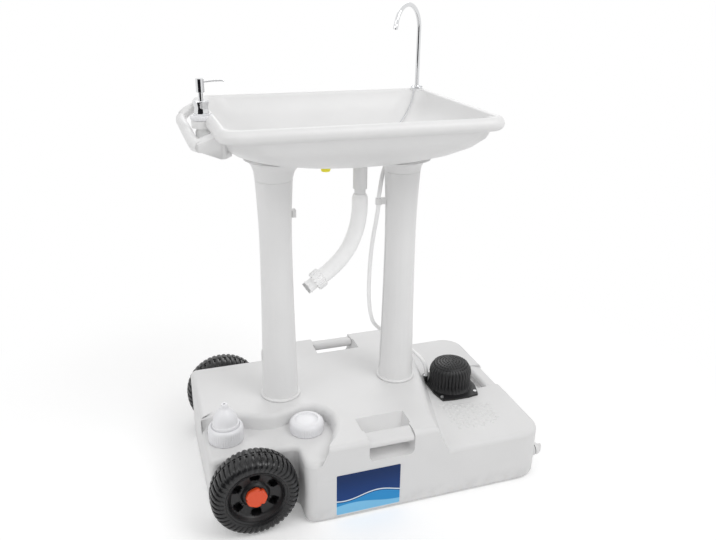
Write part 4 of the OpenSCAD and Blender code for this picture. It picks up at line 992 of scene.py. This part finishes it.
class WASHSTAND_OT_foot_pump(bpy.types.Operator):
    """Make the pleated wall and the knurled crown of the foot pump"""

    bl_idname = "washstand.foot_pump"
    bl_label = "Foot pump"

    def execute(self, context):
        pleats = context.scene.wash_detail.pleats
        self.wall(pleats)
        self.crown(pleats)
        for node in ("piston_cup", "pump_flange", "pump_outlet"):
            smoothed_node(node)
        smoothed_node("pump_screws", finish="screw")
        spring = smoothed_node("pump_spring", 60)
        squash_with(spring)
        return {"FINISHED"}

    @staticmethod
    def pleat(pleats):
        """How deep a fold is at an angle: wide rounded ribs and narrow valleys."""
        return lambda angle: 1 - abs(math.sin(angle * pleats / 2)) ** 0.7

    def wall(self, pleats):
        """The pleated rubber wall between the flange and the crown."""
        bm = bmesh.new()
        foot_z, top, bore = 0.2, 36, 43
        rings = [(bore, foot_z, 0)]
        for i in range(13):
            height = foot_z + (top - foot_z) * i / 12
            # It spreads at its foot, and leans in where the crown comes down over it
            foot = max(0.0, 1 - height / 16) ** 2
            lean = max(0.0, (height - 20) / 18)
            rings.append((49.9 + 4.4 * foot - 1.6 * lean, height, 2.9 - 2.2 * foot))
        rings.append((bore, top, 0))
        ribbed(bm, rings, shift(*PUMP, PUMP_BASE_Z), pleats * 6, self.pleat(pleats),
               closed=False)
        wall = stand_for("pump_bellows", "pleated_wall", bm, 50)
        squash_with(wall)

    def crown(self, pleats):
        """The domed top: its folds run out in arches, and the rest is knurled."""
        place = shift(*PUMP, CROWN_Z)
        dome = [(50.9, -16, 2.9), (50.6, -12, 2.8), (49.8, -7, 2.6),
                (48, -2.2, 2.3), (45.3, 2, 1.8), (41.7, 5.8, 1.1), (37.2, 8.9, 0.4),
                (31.6, 11.4, 0), (24.4, 13.3, 0), (15.8, 14.6, 0), (7, 15.2, 0)]
        bm = bmesh.new()
        inside = [(50.3, -16, 2.9), (49.95, -12, 2.8), (49.1, -7, 2.6), (46.9, -3.4, 2.2),
                  (42, 0.2, 0), (3, 0.2, 0)]
        ribbed(bm, inside[::-1] + dome, place, pleats * 6, self.pleat(pleats))
        knurl = bmesh.new()
        rows, gap = 6, 6.7
        for row in range(1, rows + 1):
            radius = row * gap
            # Height and slope of the dome at this radius
            k = next(i for i in range(1, len(dome)) if dome[i][0] <= radius or i == len(dome) - 1)
            (r0, z0, _), (r1, z1, _) = dome[k - 1], dome[k]
            share = min(1.0, max(0.0, (r0 - radius) / (r0 - r1)))
            height, lean = z0 + (z1 - z0) * share, math.atan2(z1 - z0, r0 - r1)
            for i in range(row * 6):
                a = math.tau * (i + 0.5 * (row % 2)) / (row * 6)
                stud = (place @ Matrix.Rotation(a, 4, "Z")
                        @ shift(radius, 0, height) @ Matrix.Rotation(lean, 4, "Y")
                        @ Matrix.Rotation(math.pi / 4, 4, "Z"))
                bmesh.ops.create_cone(
                    knurl, cap_ends=True, segments=4, radius1=0.0042, radius2=0.0013,
                    depth=0.0034, matrix=stud)
        join(bm, knurl)
        self.plunger(bm)
        stand_for("pump_crown", "knurled_crown", bm, 42, "black_rubber")

    def plunger(self, bm):
        """The stem and the piston head that go down into the cylinder."""
        part = bmesh.new()
        outline = [(0, 1), (11, 1), (11, -47.5), (24, -47.5), (24, -51), (18, -51), (18, -58.5),
                   (24, -58.5), (24, -62), (0, -62)]
        turned(part, outline, 48, shift(*PUMP, CROWN_Z))
        join(bm, part)


# The rays that see the white background
SEEN_RAYS = ("Is Camera Ray", "Is Glossy Ray", "Is Transmission Ray")


class WASHSTAND_OT_stage(bpy.types.Operator):
    """Set up the floor, the lamps and the white surround"""

    bl_idname = "washstand.stage"
    bl_label = "Stage"

    def execute(self, context):
        stage = context.scene.wash_stage
        self.floor()
        self.lamp("key lamp", stage.key, 1.5, (1.1, -1.5, 2.6), 0.35)
        self.lamp("fill lamp", stage.fill, 2.0, (-2.2, -0.9, 1.9), 0.4)
        self.lamp("back lamp", stage.fill, 1.6, (0.5, 2.2, 2.0), 0.5)
        self.card(radius=1.5, angles=(198, 274), height=1.15)
        self.surround(stage.ambient)
        context.scene.view_settings.view_transform = "Standard"
        return {"FINISHED"}

    def floor(self):
        """A pale floor that goes over into white, away from the stand."""
        bm = bmesh.new()
        bmesh.ops.create_circle(bm, cap_ends=True, segments=96, radius=3.2)
        f = Finish("studio floor", Roughness=0.9, Specular_IOR_Level=0.1)
        at = f.place()
        f.set("Base Color", f.blend(f.noise(at, 0.5), (0.90, 0.90, 0.90),
                                    (0.92, 0.92, 0.92)))
        away = f.node("ShaderNodeVectorMath", {"operation": "LENGTH"}, {0: at}, 1)
        camera, gloss, through = (f.node("ShaderNodeLightPath", output=way) for way in SEEN_RAYS)
        seen = camera.most(gloss).most(through)
        paint = Wire(f, f.shader.outputs[0])
        white, bright = (f.node("ShaderNodeEmission", None, {"Strength": strength})
                         for strength in (1.0, 0.18))
        lifted = f.node("ShaderNodeAddShader", None, {0: paint, 1: bright})
        near = f.node("ShaderNodeMixShader", None, {0: seen, 1: paint, 2: lifted})
        both = f.node("ShaderNodeMixShader", None,
                      {0: seen * away.ease(0.55, 1.15), 1: near, 2: white})
        f.feed(f.output.inputs["Surface"], both)
        self.studio_piece("studio_floor", bm, f)

    def card(self, radius, angles, height):
        """A bent dark card round the front that only polished and glossy pieces show."""
        bm = bmesh.new()
        foot = [bm.verts.new((radius * math.cos(a), radius * math.sin(a), 0.002))
                for a in (math.radians(angles[0] + (angles[1] - angles[0]) * i / 24)
                          for i in range(25))]
        edges = [bm.edges.new(pair) for pair in zip(foot, foot[1:])]
        made = bmesh.ops.extrude_edge_only(bm, edges=edges)["geom"]
        bmesh.ops.translate(bm, vec=(0, 0, height), verts=moved(made))
        f = Finish("dark card", Roughness=1.0, Specular_IOR_Level=0.0)
        f.set("Base Color", (0.02, 0.02, 0.022))
        card = self.studio_piece("dark_card", bm, f)
        card.visible_camera = card.visible_diffuse = card.visible_shadow = False
        card.visible_transmission = card.visible_volume_scatter = False

    @staticmethod
    def studio_piece(name, bm, finish):
        """A piece of the studio, which isn't part of the stand."""
        mesh = bpy.data.meshes.new(name)
        bm.to_mesh(mesh)
        bm.free()
        mesh.materials.append(finish.material)
        thing = bpy.data.objects.new(name, mesh)
        bpy.context.scene.collection.objects.link(thing)
        return thing

    def lamp(self, name, power, size, at, aim_z):
        """A round lamp that points at a height over the origin."""
        light = bpy.data.lights.new(name, "AREA")
        light.energy, light.size, light.shape = power, size, "DISK"
        lamp = bpy.data.objects.new(name, light)
        lamp.location = at
        lamp.rotation_mode = "QUATERNION"
        lamp.rotation_quaternion = (Vector((0, 0, aim_z)) - Vector(at)).to_track_quat("-Z", "Y")
        bpy.context.scene.collection.objects.link(lamp)

    def surround(self, ambient):
        """White for the rays that see it, and an even light of its own strength."""
        world = bpy.data.worlds.new("white surround")
        bpy.context.scene.world = world
        world.use_nodes = True
        tree = world.node_tree
        tree.nodes.clear()
        path = tree.nodes.new("ShaderNodeLightPath")
        seen = path.outputs[SEEN_RAYS[0]]
        for way in SEEN_RAYS[1:]:
            either = tree.nodes.new("ShaderNodeMath")
            either.operation = "MAXIMUM"
            tree.links.new(seen, either.inputs[0])
            tree.links.new(path.outputs[way], either.inputs[1])
            seen = either.outputs[0]
        lit, plain = (tree.nodes.new("ShaderNodeBackground") for _ in range(2))
        lit.inputs["Strength"].default_value = ambient
        plain.inputs["Strength"].default_value = 1.0
        for back in (lit, plain):
            back.inputs["Color"].default_value = (1, 1, 1, 1)
        mix = tree.nodes.new("ShaderNodeMixShader")
        out = tree.nodes.new("ShaderNodeOutputWorld")
        tree.links.new(seen, mix.inputs[0])
        tree.links.new(lit.outputs[0], mix.inputs[1])
        tree.links.new(plain.outputs[0], mix.inputs[2])
        tree.links.new(mix.outputs[0], out.inputs["Surface"])


class WASHSTAND_PT_sidebar(bpy.types.Panel):
    """Sizes, colours and steps of the wash stand"""

    bl_idname = "WASHSTAND_PT_sidebar"
    bl_label = "Wash stand"
    bl_space_type = "VIEW_3D"
    bl_region_type = "UI"
    bl_category = "Wash stand"

    def draw(self, context):
        scene = context.scene
        for group in (scene.wash_finish, scene.wash_detail, scene.wash_stage):
            box = self.layout.box()
            for prop in group.bl_rna.properties:
                if prop.identifier not in {"rna_type", "name"}:
                    box.prop(group, prop.identifier)
        for step in STEPS:
            self.layout.operator(step.bl_idname)


STEPS = (
    WASHSTAND_OT_camera, WASHSTAND_OT_finishes, WASHSTAND_OT_drain_hose,
    WASHSTAND_OT_supply_tube, WASHSTAND_OT_stopper_chain, WASHSTAND_OT_tank,
    WASHSTAND_OT_caps, WASHSTAND_OT_wheels, WASHSTAND_OT_basin, WASHSTAND_OT_legs,
    WASHSTAND_OT_faucet, WASHSTAND_OT_soap_pump, WASHSTAND_OT_foot_pump,
    WASHSTAND_OT_stage,
)
CLASSES = (WashStandFinish, WashStandDetail, WashStandStage, *STEPS, WASHSTAND_PT_sidebar)


def register():
    for cls in CLASSES:
        bpy.utils.register_class(cls)
    bpy.types.Scene.wash_finish = PointerProperty(type=WashStandFinish)
    bpy.types.Scene.wash_detail = PointerProperty(type=WashStandDetail)
    bpy.types.Scene.wash_stage = PointerProperty(type=WashStandStage)


def unregister():
    for name in ("wash_finish", "wash_detail", "wash_stage"):
        delattr(bpy.types.Scene, name)
    for cls in reversed(CLASSES):
        bpy.utils.unregister_class(cls)


def main():
    register()
    for step in STEPS:
        group, name = step.bl_idname.split(".")
        getattr(getattr(bpy.ops, group), name)()


if __name__ == "__main__":
    main()
